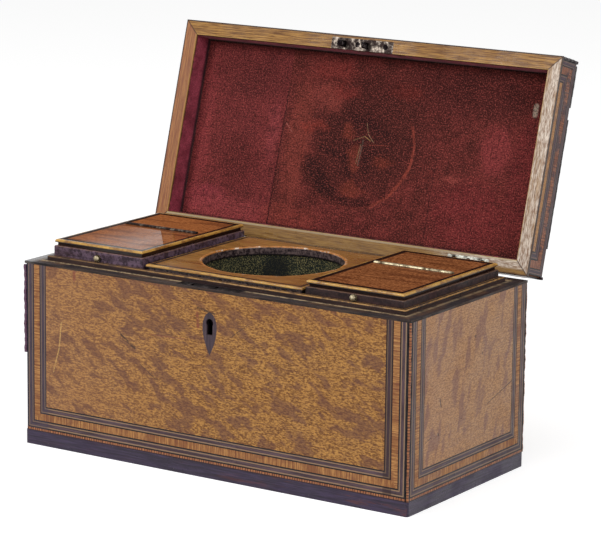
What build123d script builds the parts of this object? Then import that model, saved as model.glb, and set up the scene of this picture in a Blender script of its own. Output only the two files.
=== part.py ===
from build123d import *
import os

os.makedirs("parts", exist_ok=True)

# An antique tea caddy, standing with its lid open. Lengths are in millimetres. X runs along
# the front from left to right, the front faces -Y, Z is up, and the origin is the middle of
# the base on the table. Everything on the lid is written as if the lid were shut, on a plan
# that is turned open about the hinge pins.

# Case
case_width = 305.0
case_depth = 148.0
rim_height = 127.0
veneer = 1.0
board = 10.0
capping = 1.6
bottom_thickness = 9.0
plinth_height = 9.7
plinth_thickness = 3.0
plinth_round = 2.0
lining = 3.0
lip_rise = 3.0
lip_round = 0.8

# Inlaid bands of the case, from the outer edge of a face inwards
mitre_gap = 0.04
stringing = 2.0
outer_band = 5.8
crossband = 4.8
inner_band = 5.4

# Lid
lid_height = 22.0
lid_open = 106.0
lid_gap = 0.3
lid_rim = 10.0
lid_board = 4.2
rim_facing = 1.0
lid_outer_band = 4.5
lid_crossband = 5.2
lid_inner_band = 5.7
velvet = 0.7
pad = 1.2
pad_round = 0.5
pad_clearance = 0.2

# Butt hinges of the lid
hinge_out = 0.5
hinge_up = 1.5
hinge_inset = 46.5
leaf_length = 32.0
leaf_depth = 8.0
leaf_thickness = 1.2
knuckle_radius = 2.1
knuckle_count = 5
knuckle_gap = 0.2
knuckle_notch = 0.4
pin_radius = 1.0
running_clearance = 0.05
leaf_screw_inset = 5.0

# Screws
head_radius = 1.9
shank_radius = 0.9
screw_length = 7.0
screw_slot = 0.5
screw_clearance = 0.05

# Lock, its selvedge in the rim and its link plate on the lid
lock_middle = -3.7
selvedge_width = 50.0
selvedge_depth = 8.0
selvedge_inset = 2.0
selvedge_thickness = 1.2
selvedge_screw_inset = 3.5
lock_width = 36.0
lock_height = 34.0
lock_setback = 3.0
lock_thickness = 7.0
lock_wall = 0.8
lock_clearance = 0.2
link_screw_steps = (-18.8, -3.8, 18.8)
link_steps = (-13.8, 4.2)
link_thickness = 1.6
link_width = 4.4
link_drop = 7.0
eye_width = 2.6
eye_height = 2.8
eye_foot = 1.3
link_clearance = 0.4
bolt_throw = 4.2
bolt_stub = 2.0
finger_thickness = 1.8
finger_height = 2.0
finger_clearance = 0.6
bar_drop = 9.0
bar_height = 7.0
bar_tail = 2.0
talon_radius = 2.6

# Keyhole and its inlaid escutcheon, measured down from the rim
key_x = 0.0
keyhole_drop = 22.4
keyhole_radius = 2.8
keyhole_slot = 4.6
keyhole_bottom = 30.4
drill_pin_radius = 1.1
escutcheon_top = 15.6
escutcheon_widest = 25.5
escutcheon_bottom = 44.0
escutcheon_width = 11.2
inlay_clearance = 0.03

# Fittings inside the case
well_width = 123.0
partition = 2.8
bearer = 6.0
platform_seat = 0.5
platform_thickness = 6.0
platform_lift = 0.5
platform_gap = 0.5
bowl_hole = 95.0
edging_width = 2.5
edging_height = 2.0
edging_round = 1.2
edging_overhang = 1.4
drum_wall = 2.0
drum_step = 0.8
drum_foot = 64.0
drum_round = 14.0

# Canisters
canister_gap = 0.3
canister_wall = 4.0
canister_seat = 0.2
canister_rise = {"left": 14.2, "right": 12.2}
canister_round = 0.6
top_inset = 0.4
foil = 0.4
foil_gap = 0.1
foil_drop = 1.0
top_under = 2.3
flap_line = 12.5
flap_gap = 0.3
flap_axis_rise = 0.2
flap_knuckle_radius = 1.25
flap_knuckle_count = 3
flap_knuckle_notch = 0.3
flap_hinge_inset = 6.8
flap_leaf = 0.7
flap_leaf_height = 3.4
flap_pin_radius = 0.6
knob_lift = 2.5
knob_plate_radius = 2.3
knob_plate = 0.4
knob_neck_radius = 1.2
knob_radius = 2.2
knob_half_depth = 1.5
knob_projection = 3.3

# Worked out from the sizes above
wall = veneer + board
case_x = case_width / 2
case_y = case_depth / 2
out_x = case_x - veneer
out_y = case_y - veneer
board_top = rim_height - capping
floor = bottom_thickness
room_x = case_x - wall - lining
room_y = case_y - wall - lining
hinge_y = case_y + hinge_out
hinge_z = rim_height + hinge_up
lid_low = rim_height + lid_gap
lid_top = lid_low + lid_height
lid_under = lid_top - veneer - lid_board
leaf_front = case_y - leaf_depth
leaf_neck = hinge_y - knuckle_radius - knuckle_notch
hinge_middles = (hinge_inset - case_x, case_x - hinge_inset)
link_screws_x = [lock_middle + step for step in link_screw_steps]
links_x = [lock_middle + step for step in link_steps]
canister_near = well_width / 2 + partition + canister_gap
canister_far = room_x - canister_gap
canister_middle = (canister_near + canister_far) / 2

lid_plan = Plane(Pos(0, hinge_y, hinge_z) * Rot(X=-lid_open) * Pos(0, -hinge_y, -hinge_z))

# The four upright faces: a plane on each with its height upwards, and half the face's width
upright_faces = {
    "front": (Plane((0, -case_y, 0), x_dir=(1, 0, 0), z_dir=(0, -1, 0)), case_x),
    "back": (Plane((0, case_y, 0), x_dir=(-1, 0, 0), z_dir=(0, 1, 0)), case_x),
    "left": (Plane((-case_x, 0, 0), x_dir=(0, -1, 0), z_dir=(-1, 0, 0)), case_y),
    "right": (Plane((case_x, 0, 0), x_dir=(0, 1, 0), z_dir=(1, 0, 0)), case_y),
}


def on(plan, plane):
    """A plane of the shut caddy, carried along with a plan such as the open lid's."""
    return Plane(plan.location * plane.location)


def write(label, *pieces):
    """Write a piece, or several like pieces that stay separate solids, as one STEP file."""
    node = pieces[0] if len(pieces) == 1 else Compound(children=list(pieces))
    node.label = label
    export_step(node, f"parts/{label}.step")


def shaped(solids, cutters=()):
    """One piece joined from solids, with the cutters taken out of it."""
    with BuildPart() as piece:
        for solid in solids:
            add(solid)
        for cutter in cutters:
            add(cutter, mode=Mode.SUBTRACT)
    return piece.part


def block(low, high, plan=Plane.XY):
    """A squared piece between two corners."""
    with BuildPart(plan) as piece:
        with Locations(low):
            Box(high[0] - low[0], high[1] - low[1], high[2] - low[2], align=(Align.MIN,) * 3)
    return piece.part


def rod(start, length, radius, plan=Plane.XY):
    """A round rod along X from its left end."""
    with BuildPart() as piece:
        with BuildSketch(on(plan, Plane(start, x_dir=(0, 1, 0), z_dir=(1, 0, 0)))):
            Circle(radius)
        extrude(amount=length)
    return piece.part


def strip(plane, outline, thickness, round_over=0.0):
    """A flat strip with the given outline. Its longest upper edge may be rounded over."""
    with BuildPart() as piece:
        with BuildSketch(plane):
            Polygon(*outline, align=None)
        extrude(amount=thickness)
        if round_over > 0:
            upper = piece.faces().sort_by(Axis(plane.origin, plane.z_dir))[-1]
            fillet(upper.edges().sort_by(SortBy.LENGTH)[-1], radius=round_over)
    return piece.part


def mitred_frame(plane, half_x, half_y, width, thickness, round_over=0.0):
    """Four strips laid on a plane round a rectangle, mitred at the corners with a glue line."""
    in_x, in_y = half_x - width, half_y - width
    end_x, end_y = half_x - mitre_gap, half_y - mitre_gap
    near_x, near_y = in_x - mitre_gap, in_y - mitre_gap
    outlines = (
        [(-end_x, -half_y), (end_x, -half_y), (near_x, -in_y), (-near_x, -in_y)],
        [(half_x, -end_y), (half_x, end_y), (in_x, near_y), (in_x, -near_y)],
        [(end_x, half_y), (-end_x, half_y), (-near_x, in_y), (near_x, in_y)],
        [(-half_x, end_y), (-half_x, -end_y), (-in_x, -near_y), (-in_x, near_y)],
    )
    return [strip(plane, outline, thickness, round_over) for outline in outlines]


def three_strips(plane, half, open_end, closed_end, inset, width, thickness, round_over=0.0):
    """Two legs from an open end and a strip across the other end, mitred with a glue line."""
    side = 1 if closed_end > open_end else -1
    outer, inner = half - inset, half - inset - width
    far, near = closed_end - side * inset, closed_end - side * (inset + width)
    leg_far, leg_near = far - side * mitre_gap, near - side * mitre_gap
    cross_outer, cross_inner = outer - mitre_gap, inner - mitre_gap
    outlines = (
        [(-outer, open_end), (-inner, open_end), (-inner, leg_near), (-outer, leg_far)],
        [(-cross_outer, far), (-cross_inner, near), (cross_inner, near), (cross_outer, far)],
        [(outer, open_end), (inner, open_end), (inner, leg_near), (outer, leg_far)],
    )
    return [strip(plane, outline, thickness, round_over) for outline in outlines]


def screw(point, plan=Plane.XY, up=1, clearance=0.0):
    """A countersunk wood screw with its head level with a point. With up at -1 it points up."""
    x, y, z = point
    head = head_radius + clearance
    shank = shank_radius + clearance
    half_slot = screw_slot / 2
    profile = on(plan, Plane(point, x_dir=(1, 0, 0), z_dir=(0, -up, 0)))
    slot = block((x - head, y - half_slot, z - screw_slot), (x + head, y + half_slot, z + screw_slot), plan)
    with BuildPart() as piece:
        with BuildSketch(profile):
            Polygon((0, 0), (head, 0), (shank, shank - head), (shank, -screw_length), (0, -screw_length),
                    align=None)
        revolve(axis=Axis(profile.origin, profile.y_dir))
        if clearance == 0:
            add(slot, mode=Mode.SUBTRACT)
    return piece.part


def knuckle_spans(middle, length, count, own):
    """Start and length of each of a leaf's own knuckles along a hinge."""
    pitch = length / count
    start = middle - length / 2
    return [(start + i * pitch + knuckle_gap / 2, pitch - knuckle_gap) for i in range(own, count, 2)]


def leaf_screws(middle, height):
    """Where three screws hold a leaf of the lid's hinges."""
    reach = leaf_length / 2 - leaf_screw_inset
    return [(middle + step * reach, (leaf_front + leaf_neck) / 2, height) for step in (-1, 0, 1)]


def butt_leaf(middle, own, plan, low, high, up):
    """A leaf of the lid's hinges, with its own knuckles bored for the pin."""
    left, right = middle - leaf_length / 2, middle + leaf_length / 2
    solids = [block((left, leaf_front, low), (right, leaf_neck, high), plan)]
    for start, length in knuckle_spans(middle, leaf_length, knuckle_count, own):
        solids.append(rod((start, hinge_y, hinge_z), length, knuckle_radius, plan))
        solids.append(block((start, leaf_neck, low), (start + length, hinge_y, high), plan))
    cutters = [rod((left, hinge_y, hinge_z), leaf_length, pin_radius + running_clearance, plan)]
    for spot in leaf_screws(middle, high if up > 0 else low):
        cutters.append(screw(spot, plan, up, screw_clearance))
    return shaped(solids, cutters)


def barrel_room(plan):
    """Hollows in the wood round the lid's hinge barrels."""
    length = leaf_length + 2 * knuckle_gap
    radius = knuckle_radius + knuckle_notch
    return [rod((middle - length / 2, hinge_y, hinge_z), length, radius, plan) for middle in hinge_middles]


def leaf_room(plan, low, high):
    """Recesses in the wood for the lid's hinge leaves."""
    half = leaf_length / 2
    return [block((middle - half, leaf_front, low), (middle + half, hinge_y, high), plan)
            for middle in hinge_middles]


def escutcheon_plate(depth, clearance=0.0):
    """The escutcheon's outline as a solid: round shoulders drawn down to a point."""
    half = escutcheon_width / 2 + clearance
    top = rim_height - escutcheon_top + clearance
    wide = rim_height - escutcheon_widest
    foot = rim_height - escutcheon_bottom - clearance
    belly = wide - (wide - foot) * 0.45
    with BuildPart() as plate:
        with BuildSketch(front_plane):
            with BuildLine():
                EllipticalCenterArc((key_x, wide), half, top - wide, start_angle=0, arc_size=180)
                Bezier((key_x - half, wide), (key_x - half, belly), (key_x, foot))
                Bezier((key_x, foot), (key_x + half, belly), (key_x + half, wide))
            make_face()
        extrude(amount=-depth)
    return plate.part


front_plane = upright_faces["front"][0]

# Keyhole: a round head over a slot, cut through the front into the lock
with BuildPart() as keyhole:
    with BuildSketch(front_plane):
        with Locations((key_x, rim_height - keyhole_drop)):
            Circle(keyhole_radius)
        with Locations((key_x, rim_height - (keyhole_drop + keyhole_bottom) / 2)):
            Rectangle(keyhole_slot, keyhole_bottom - keyhole_drop)
    extrude(amount=-(lock_setback + 2 * lock_wall))

# Places of the lock, its selvedge and the link plate
selvedge_left = lock_middle - selvedge_width / 2
selvedge_right = lock_middle + selvedge_width / 2
selvedge_front = -case_y + selvedge_inset
selvedge_back = selvedge_front + selvedge_depth
plate_y = (selvedge_front + selvedge_back) / 2
lock_left = lock_middle - lock_width / 2
lock_right = lock_middle + lock_width / 2
lock_front = -case_y + lock_setback
lock_back = lock_front + lock_thickness
lock_y = (lock_front + lock_back) / 2
lock_top = rim_height - selvedge_thickness
lock_foot = lock_top - lock_height

# Recesses and screw holes that the case's rim and the lid's rim share with their boards
case_hinge_spots = [spot for middle in hinge_middles for spot in leaf_screws(middle, rim_height)]
selvedge_spots = [(x, plate_y, rim_height)
                  for x in (selvedge_left + selvedge_screw_inset, selvedge_right - selvedge_screw_inset)]
case_screws = [screw(spot) for spot in case_hinge_spots + selvedge_spots]
selvedge_holes = [screw(spot, clearance=screw_clearance) for spot in selvedge_spots]
selvedge_room = block((selvedge_left, selvedge_front, lock_top), (selvedge_right, selvedge_back, rim_height))
lock_room = block((lock_left, lock_front, lock_foot), (lock_right, lock_back, lock_top))
case_cutters = [
    *barrel_room(Plane.XY),
    *leaf_room(Plane.XY, rim_height - leaf_thickness, lid_low),
    *(screw(spot, clearance=screw_clearance) for spot in case_hinge_spots),
    *selvedge_holes, selvedge_room, lock_room,
]

lid_hinge_spots = [spot for middle in hinge_middles for spot in leaf_screws(middle, lid_low)]
link_spots = [(x, plate_y, lid_low) for x in link_screws_x]
lid_screws = [screw(spot, lid_plan, -1) for spot in lid_hinge_spots + link_spots]
link_holes = [screw(spot, lid_plan, -1, screw_clearance) for spot in link_spots]
link_plate_room = block((selvedge_left, selvedge_front, lid_low),
                        (selvedge_right, selvedge_back, lid_low + selvedge_thickness), lid_plan)
lid_cutters = [
    *barrel_room(lid_plan),
    *leaf_room(lid_plan, rim_height, lid_low + leaf_thickness),
    *(screw(spot, lid_plan, -1, screw_clearance) for spot in lid_hinge_spots),
    *link_holes, link_plate_room,
]

# Square stringing let into the case's four upright corners
corner_strings = [
    block((x, y, plinth_height), (x + stringing, y + stringing, board_top))
    for x in (-case_x, case_x - stringing)
    for y in (-case_y, case_y - stringing)
]

# Plinth: four mitred strips let into the boards, their upright corners softened
with BuildPart() as plinth_outline:
    with BuildSketch():
        RectangleRounded(case_width, case_depth, plinth_round)
    extrude(amount=plinth_height)
plinth_strips = []
for strip_of_plinth in mitred_frame(Plane.XY, case_x, case_y, plinth_thickness, plinth_height):
    with BuildPart() as plinth:
        add(strip_of_plinth)
        add(plinth_outline.part, mode=Mode.INTERSECT)
    plinth_strips.append(plinth.part)
write("plinth", *plinth_strips)

# Carcass boards, rebated at the foot for the plinth and at the corners for the stringing
with BuildPart() as plinth_rebate:
    with BuildSketch():
        Rectangle(case_width, case_depth)
        Rectangle(case_width - 2 * plinth_thickness, case_depth - 2 * plinth_thickness, mode=Mode.SUBTRACT)
    extrude(amount=plinth_height)
carcass = {
    "front_board": ((-out_x, -out_y), (out_x, board - out_y)),
    "back_board": ((-out_x, out_y - board), (out_x, out_y)),
    "left_board": ((-out_x, board - out_y), (board - out_x, out_y - board)),
    "right_board": ((out_x - board, board - out_y), (out_x, out_y - board)),
}
for label, (low, high) in carcass.items():
    cutters = [plinth_rebate.part, *corner_strings]
    if label in ("front_board", "back_board"):
        cutters += case_cutters
    if label == "front_board":
        cutters.append(keyhole.part)
    write(label, shaped([block((*low, 0), (*high, board_top))], cutters))

with BuildPart() as bottom_board:
    with BuildSketch():
        Rectangle(2 * (out_x - board), 2 * (out_y - board))
    extrude(amount=bottom_thickness)
bottom_board.part.label = "bottom_board"
export_step(bottom_board.part, "parts/bottom_board.step")

# Ebonised capping over the walls' upper edges
rim_capping = mitred_frame(Plane.XY.offset(board_top), case_x, case_y, wall, capping)
write("rim_capping", *(shaped([piece], case_cutters) for piece in rim_capping))

# Veneers on the four upright faces: bands round three sides, and a panel within them
case_bands = {
    "case_outer_bands": (stringing, outer_band),
    "case_crossbanding": (stringing + outer_band, crossband),
    "case_inner_bands": (stringing + outer_band + crossband, inner_band),
}
panel_inset = stringing + outer_band + crossband + inner_band
panel_foot = plinth_height + panel_inset
for label, (inset, width) in case_bands.items():
    pieces = []
    for plane, half in upright_faces.values():
        pieces += three_strips(plane, half, board_top, plinth_height, inset, width, -veneer)
    write(label, *pieces)
foot_strings = []
for plane, half in upright_faces.values():
    with BuildPart() as foot_string:
        with BuildSketch(plane):
            with Locations((0, plinth_height + stringing / 2)):
                Rectangle(2 * (half - stringing), stringing)
        extrude(amount=-veneer)
    foot_strings.append(foot_string.part)
write("case_stringing", *corner_strings, *foot_strings)

escutcheon_recess = escutcheon_plate(2 * veneer, inlay_clearance)
for side, (plane, half) in upright_faces.items():
    with BuildPart() as panel:
        with BuildSketch(plane):
            with Locations((0, (panel_foot + board_top) / 2)):
                Rectangle(2 * (half - panel_inset), board_top - panel_foot)
        extrude(amount=-veneer)
        if side == "front":
            add(escutcheon_recess, mode=Mode.SUBTRACT)
    panel.part.label = f"{side}_panel"
    export_step(panel.part, f"parts/{side}_panel.step")

# Escutcheon, let into the front panel
write("escutcheon", shaped([escutcheon_plate(veneer)], [keyhole.part]))

# Inner lining of the walls, which stands above the rim as a lip
lip_top = rim_height + lip_rise
write("lip_lining", *mitred_frame(Plane.XY.offset(floor), room_x + lining, room_y + lining, lining,
                                  lip_top - floor, lip_round))

# Partitions on either side of the well, with bearers under the platform
platform_low = rim_height + platform_lift
platform_x = well_width / 2 + platform_seat
platform_y = room_y - platform_gap
partitions = []
for side in (-1, 1):
    outer_face = side * (well_width / 2 + partition)
    inner_face = side * well_width / 2
    bearer_face = inner_face - side * bearer
    partitions.append(block((min(outer_face, inner_face), -room_y, floor),
                            (max(outer_face, inner_face), room_y, platform_low)))
    partitions.append(block((min(bearer_face, inner_face), -room_y, platform_low - bearer),
                            (max(bearer_face, inner_face), room_y, platform_low)))
write("partitions", *partitions)

# Platform with the bowl's hole, and the boxwood moulding round its edge
platform_top = platform_low + platform_thickness
with BuildPart() as bowl_platform:
    with BuildSketch(Plane.XY.offset(platform_low)):
        Rectangle(2 * (platform_x - edging_overhang), 2 * (platform_y - edging_overhang))
    extrude(amount=platform_thickness - edging_height)
    with BuildSketch(Plane.XY.offset(platform_top - edging_height)):
        Rectangle(2 * (platform_x - edging_width), 2 * (platform_y - edging_width))
    extrude(amount=edging_height)
    with Locations((0, 0, platform_top)):
        Hole(radius=bowl_hole / 2)
bowl_platform.part.label = "bowl_platform"
export_step(bowl_platform.part, "parts/bowl_platform.step")
write("platform_edging", *mitred_frame(Plane.XY.offset(platform_top - edging_height), platform_x,
                                       platform_y, edging_width, edging_height, edging_round))

# Lined drum of the well, standing on the bottom board, with a round corner at its foot
drum_mouth = bowl_hole / 2 + drum_step
drum_floor = floor + drum_wall
with BuildPart() as well_drum:
    with BuildSketch(Plane.XZ) as drum_profile:
        Polygon((0, floor), (drum_foot / 2 + drum_wall, floor), (drum_mouth + drum_wall, platform_low),
                (drum_mouth, platform_low), (drum_foot / 2, drum_floor), (0, drum_floor), align=None)
        inner_corner = drum_profile.vertices().sort_by_distance((drum_foot / 2, drum_floor, 0))[0]
        fillet(inner_corner, radius=drum_round)
    revolve(axis=Axis.Z)
well_drum.part.label = "well_drum"
export_step(well_drum.part, "parts/well_drum.step")

# Lock: a brass box let into the front board, closed by a cover, under the selvedge
link_slots = []
for x in links_x:
    reach_x = link_thickness / 2 + link_clearance
    reach_y = link_width / 2 + link_clearance
    link_slots.append(block((x - reach_x, lock_y - reach_y, lock_top - lock_wall),
                            (x + reach_x, lock_y + reach_y, rim_height)))
lock_hollow = block((lock_left + lock_wall, lock_front + lock_wall, lock_foot + lock_wall),
                    (lock_right - lock_wall, lock_back, lock_top - lock_wall))
lock_cover = block((lock_left + lock_wall, lock_back - lock_wall, lock_foot + lock_wall),
                   (lock_right - lock_wall, lock_back, lock_top - lock_wall))
with BuildPart() as drill_pin:
    with BuildSketch(Plane.XZ.offset(-lock_back + lock_wall)):
        with Locations((key_x, rim_height - keyhole_drop)):
            Circle(drill_pin_radius)
    extrude(amount=lock_thickness - lock_wall)
    fillet(drill_pin.faces().sort_by(Axis.Y)[0].edges(), radius=drill_pin_radius / 2)
write("lock_case", shaped([lock_room], [lock_hollow, keyhole.part, *link_slots]), lock_cover, drill_pin.part)
write("lock_selvedge", shaped([selvedge_room], [*link_slots, *selvedge_holes]))

# Sliding bolt: a bar with two fingers that pass through the links' eyes when it moves left
eye_middle = lid_low - link_drop + eye_foot + eye_height / 2
finger_top = eye_middle + finger_height / 2
bar_top = rim_height - bar_drop
tips = [x + link_thickness / 2 + finger_clearance for x in links_x]
stubs = [x + link_thickness / 2 + lock_clearance + bolt_throw for x in links_x]
bar_left = stubs[0]
bar_right = stubs[-1] + bolt_stub + bar_tail
lock_plane = Plane.XZ.offset(-lock_y)
with BuildPart() as lock_bolt:
    with BuildSketch(lock_plane):
        with Locations(((bar_left + bar_right) / 2, bar_top - bar_height / 2)):
            Rectangle(bar_right - bar_left, bar_height)
        with Locations((key_x, bar_top - bar_height)):
            Circle(talon_radius, mode=Mode.SUBTRACT)
    extrude(amount=lock_thickness / 2 - lock_wall - lock_clearance / 2, both=True)
    with BuildSketch(lock_plane):
        for tip, stub in zip(tips, stubs):
            with Locations((stub + bolt_stub / 2, (bar_top + finger_top) / 2)):
                Rectangle(bolt_stub, finger_top - bar_top)
            with Locations(((tip + stub) / 2, eye_middle)):
                Rectangle(stub - tip, finger_height)
    extrude(amount=finger_thickness / 2, both=True)
lock_bolt.part.label = "lock_bolt"
export_step(lock_bolt.part, "parts/lock_bolt.step")

# Hinge leaves let into the case's rim, the hinge pins, and the case's screws
write("case_hinge_leaves", *(
    butt_leaf(middle, 0, Plane.XY, rim_height - leaf_thickness, rim_height, 1) for middle in hinge_middles
))
write("hinge_pins", *(
    rod((middle - leaf_length / 2, hinge_y, hinge_z), leaf_length, pin_radius) for middle in hinge_middles
))
write("case_screws", *case_screws)

# Square stringing round the lid's top edge and down its corners
lid_corner_strings = [
    block((x, y, lid_low + rim_facing), (x + stringing, y + stringing, lid_top - stringing), lid_plan)
    for x in (-case_x, case_x - stringing)
    for y in (-case_y, case_y - stringing)
]
lid_edge_strings = mitred_frame(lid_plan.offset(lid_top - stringing), case_x, case_y, stringing, stringing)
lid_stringing = [*lid_edge_strings, *lid_corner_strings]
write("lid_stringing", *lid_stringing)

# Lid: mitred rails under a top board, and a thin facing on the rails' undersides
lid_rails = mitred_frame(lid_plan.offset(lid_low + rim_facing), out_x, out_y, lid_rim - veneer,
                         lid_under - lid_low - rim_facing)
write("lid_rails", *(shaped([piece], [*lid_cutters, *lid_corner_strings]) for piece in lid_rails))
lid_top_board = block((-out_x, -out_y, lid_under), (out_x, out_y, lid_top - veneer), lid_plan)
write("lid_top_board", shaped([lid_top_board], lid_stringing))
lid_rim_facing = mitred_frame(lid_plan.offset(lid_low), case_x, case_y, lid_rim, rim_facing)
write("lid_rim_facing", *(shaped([piece], lid_cutters) for piece in lid_rim_facing))

# Lid veneers, on the four sides and the top
lid_bands = {
    "lid_outer_bands": (stringing, lid_outer_band),
    "lid_crossbanding": (stringing + lid_outer_band, lid_crossband),
    "lid_inner_bands": (stringing + lid_outer_band + lid_crossband, lid_inner_band),
}
lid_panel_inset = stringing + lid_outer_band + lid_crossband + lid_inner_band
lid_face_low = lid_low + rim_facing
lid_veneer_plane = lid_plan.offset(lid_top - veneer)
for label, (inset, width) in lid_bands.items():
    pieces = mitred_frame(lid_veneer_plane, case_x - inset, case_y - inset, width, veneer)
    for side, (plane, half) in upright_faces.items():
        strips = three_strips(on(lid_plan, plane), half, lid_face_low, lid_top, inset, width, -veneer)
        if side == "back":
            strips = [shaped([piece], barrel_room(lid_plan)) for piece in strips]
        pieces += strips
    write(label, *pieces)

side_panels = []
for side, (plane, half) in upright_faces.items():
    with BuildPart() as side_panel:
        with BuildSketch(on(lid_plan, plane)):
            with Locations((0, (lid_face_low + lid_top - lid_panel_inset) / 2)):
                Rectangle(2 * (half - lid_panel_inset), lid_top - lid_panel_inset - lid_face_low)
        extrude(amount=-veneer)
    rooms = barrel_room(lid_plan) if side == "back" else []
    side_panels.append(shaped([side_panel.part], rooms))
with BuildPart() as top_panel:
    with BuildSketch(lid_veneer_plane):
        Rectangle(2 * (case_x - lid_panel_inset), 2 * (case_y - lid_panel_inset))
    extrude(amount=veneer)
write("lid_panels", top_panel.part, *side_panels)

# Velvet inside the lid: strips on the rails and a thin pad against the top board
inner_x, inner_y = case_x - lid_rim, case_y - lid_rim
write("velvet_sides", *mitred_frame(lid_plan.offset(lid_face_low), inner_x, inner_y, velvet,
                                    lid_under - lid_face_low))
with BuildPart() as velvet_pad:
    with BuildSketch(lid_plan.offset(lid_under - pad)):
        Rectangle(2 * (inner_x - velvet - pad_clearance), 2 * (inner_y - velvet - pad_clearance))
    extrude(amount=pad)
    pad_face = velvet_pad.faces().sort_by(Axis(lid_plan.origin, lid_plan.z_dir))[0]
    fillet(pad_face.edges(), radius=pad_round)
velvet_pad.part.label = "velvet_pad"
export_step(velvet_pad.part, "parts/velvet_pad.step")

# Link plate on the lid, and the two eyed links that drop into the lock
write("link_plate", shaped([link_plate_room], link_holes))
lock_links = []
link_foot = lid_low - link_drop
for x in links_x:
    link_plane = Plane((x - link_thickness / 2, lock_y, 0), x_dir=(0, 1, 0), z_dir=(1, 0, 0))
    with BuildPart() as link:
        with BuildSketch(on(lid_plan, link_plane)):
            with Locations((0, (link_foot + link_width / 2 + lid_low) / 2)):
                Rectangle(link_width, lid_low - link_foot - link_width / 2)
            with Locations((0, link_foot + link_width / 2)):
                Circle(link_width / 2)
            with Locations((0, eye_middle)):
                Rectangle(eye_width, eye_height, mode=Mode.SUBTRACT)
        extrude(amount=link_thickness)
    lock_links.append(link.part)
write("lock_links", *lock_links)

write("lid_hinge_leaves", *(
    butt_leaf(middle, 1, lid_plan, lid_low, lid_low + leaf_thickness, -1) for middle in hinge_middles
))
write("lid_screws", *lid_screws)

# Canisters: each a box with a foil lining, a knob, a fixed strip of top and a hinged flap
box_x = (canister_far - canister_near) / 2
box_y = room_y - canister_gap
box_low = floor + canister_seat
top_x = box_x - top_inset
top_y = box_y - top_inset
hinge_half = box_x - flap_hinge_inset
flap_hinge_length = 2 * hinge_half
leaf_near = flap_gap / 2
leaf_far = leaf_near + flap_leaf
for side, middle in (("left", -canister_middle), ("right", canister_middle)):
    plan = Plane((middle, 0, 0))
    top = rim_height + canister_rise[side]
    moulding_low = top - edging_height
    box_top = moulding_low - top_under

    walls = mitred_frame(plan.offset(box_low), box_x, box_y, canister_wall, box_top - box_low, canister_round)
    base = block((canister_wall - box_x, canister_wall - box_y, box_low),
                 (box_x - canister_wall, box_y - canister_wall, box_low + canister_wall), plan)
    write(f"{side}_canister_box", *walls, base)

    foil_x = box_x - canister_wall - foil_gap
    foil_y = box_y - canister_wall - foil_gap
    foil_low = box_low + canister_wall + foil_gap
    with BuildPart() as foil_lining:
        with BuildSketch(plan.offset(foil_low)):
            Rectangle(2 * foil_x, 2 * foil_y)
        extrude(amount=box_top - foil_drop - foil_low)
        with BuildSketch(plan.offset(foil_low + foil)):
            Rectangle(2 * (foil_x - foil), 2 * (foil_y - foil))
        extrude(amount=box_top - foil_low, mode=Mode.SUBTRACT)
    foil_lining.part.label = f"{side}_foil_lining"
    export_step(foil_lining.part, f"parts/{side}_foil_lining.step")

    # Turned knob on the canister's front, between the lip and the moulding
    knob_plane = Plane((middle, -box_y, lip_top + knob_lift), x_dir=(0, -1, 0), z_dir=(1, 0, 0))
    with BuildPart() as knob:
        with BuildSketch(knob_plane):
            with BuildLine():
                head = EllipticalCenterArc((knob_projection - knob_half_depth, 0), knob_half_depth,
                                           knob_radius, start_angle=0, arc_size=145)
                Polyline(head @ 1, ((head @ 1).X, knob_neck_radius), (knob_plate, knob_neck_radius),
                         (knob_plate, knob_plate_radius), (0, knob_plate_radius), (0, 0), head @ 0)
            make_face()
        revolve(axis=Axis(knob_plane.origin, knob_plane.x_dir))
    knob.part.label = f"{side}_knob"
    export_step(knob.part, f"parts/{side}_knob.step")

    # Room in the joint of the top for the flap hinge's barrel and leaves
    axis_z = top + flap_axis_rise
    neck = axis_z - flap_knuckle_radius - flap_knuckle_notch
    hinge_room = [
        rod((-hinge_half, flap_line, axis_z), flap_hinge_length, flap_knuckle_radius + flap_knuckle_notch,
            plan),
        block((-hinge_half, flap_line - leaf_far, top - flap_leaf_height),
              (hinge_half, flap_line + leaf_far, top), plan),
    ]
    bore = rod((-hinge_half, flap_line, axis_z), flap_hinge_length, flap_pin_radius + running_clearance, plan)
    pin = rod((-hinge_half, flap_line, axis_z), flap_hinge_length, flap_pin_radius, plan)

    # The top behind the joint is fixed, and the top in front of it is the flap
    for name, own, toward in (("fixed_top", 0, 1), ("flap", 1, -1)):
        joint = flap_line + toward * leaf_near
        layers = []
        for low, high, inset in ((box_top, moulding_low, edging_overhang), (moulding_low, top, edging_width)):
            ends = sorted((joint, toward * (top_y - inset)))
            layers.append(block((inset - top_x, ends[0], low), (top_x - inset, ends[1], high), plan))
        write(f"{side}_{name}", shaped(layers, hinge_room))
        write(f"{side}_{name}_edging", *three_strips(plan.offset(moulding_low), top_x, joint, toward * top_y,
                                                     0.0, edging_width, edging_height, edging_round))

        leaf_ends = sorted((joint, flap_line + toward * leaf_far))
        solids = [block((-hinge_half, leaf_ends[0], top - flap_leaf_height), (hinge_half, leaf_ends[1], neck),
                        plan)]
        for start, length in knuckle_spans(0, flap_hinge_length, flap_knuckle_count, own):
            solids.append(rod((start, flap_line, axis_z), length, flap_knuckle_radius, plan))
            solids.append(block((start, leaf_ends[0], neck), (start + length, leaf_ends[1], axis_z), plan))
        leaf = shaped(solids, [bore])
        if name == "flap":
            write(f"{side}_flap_leaf", leaf)
        else:
            write(f"{side}_flap_hinge", leaf, pin)
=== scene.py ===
from math import cos, radians, sin

import bmesh
import bpy
import numpy as np
from mathutils import Euler, Matrix, Vector


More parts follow.
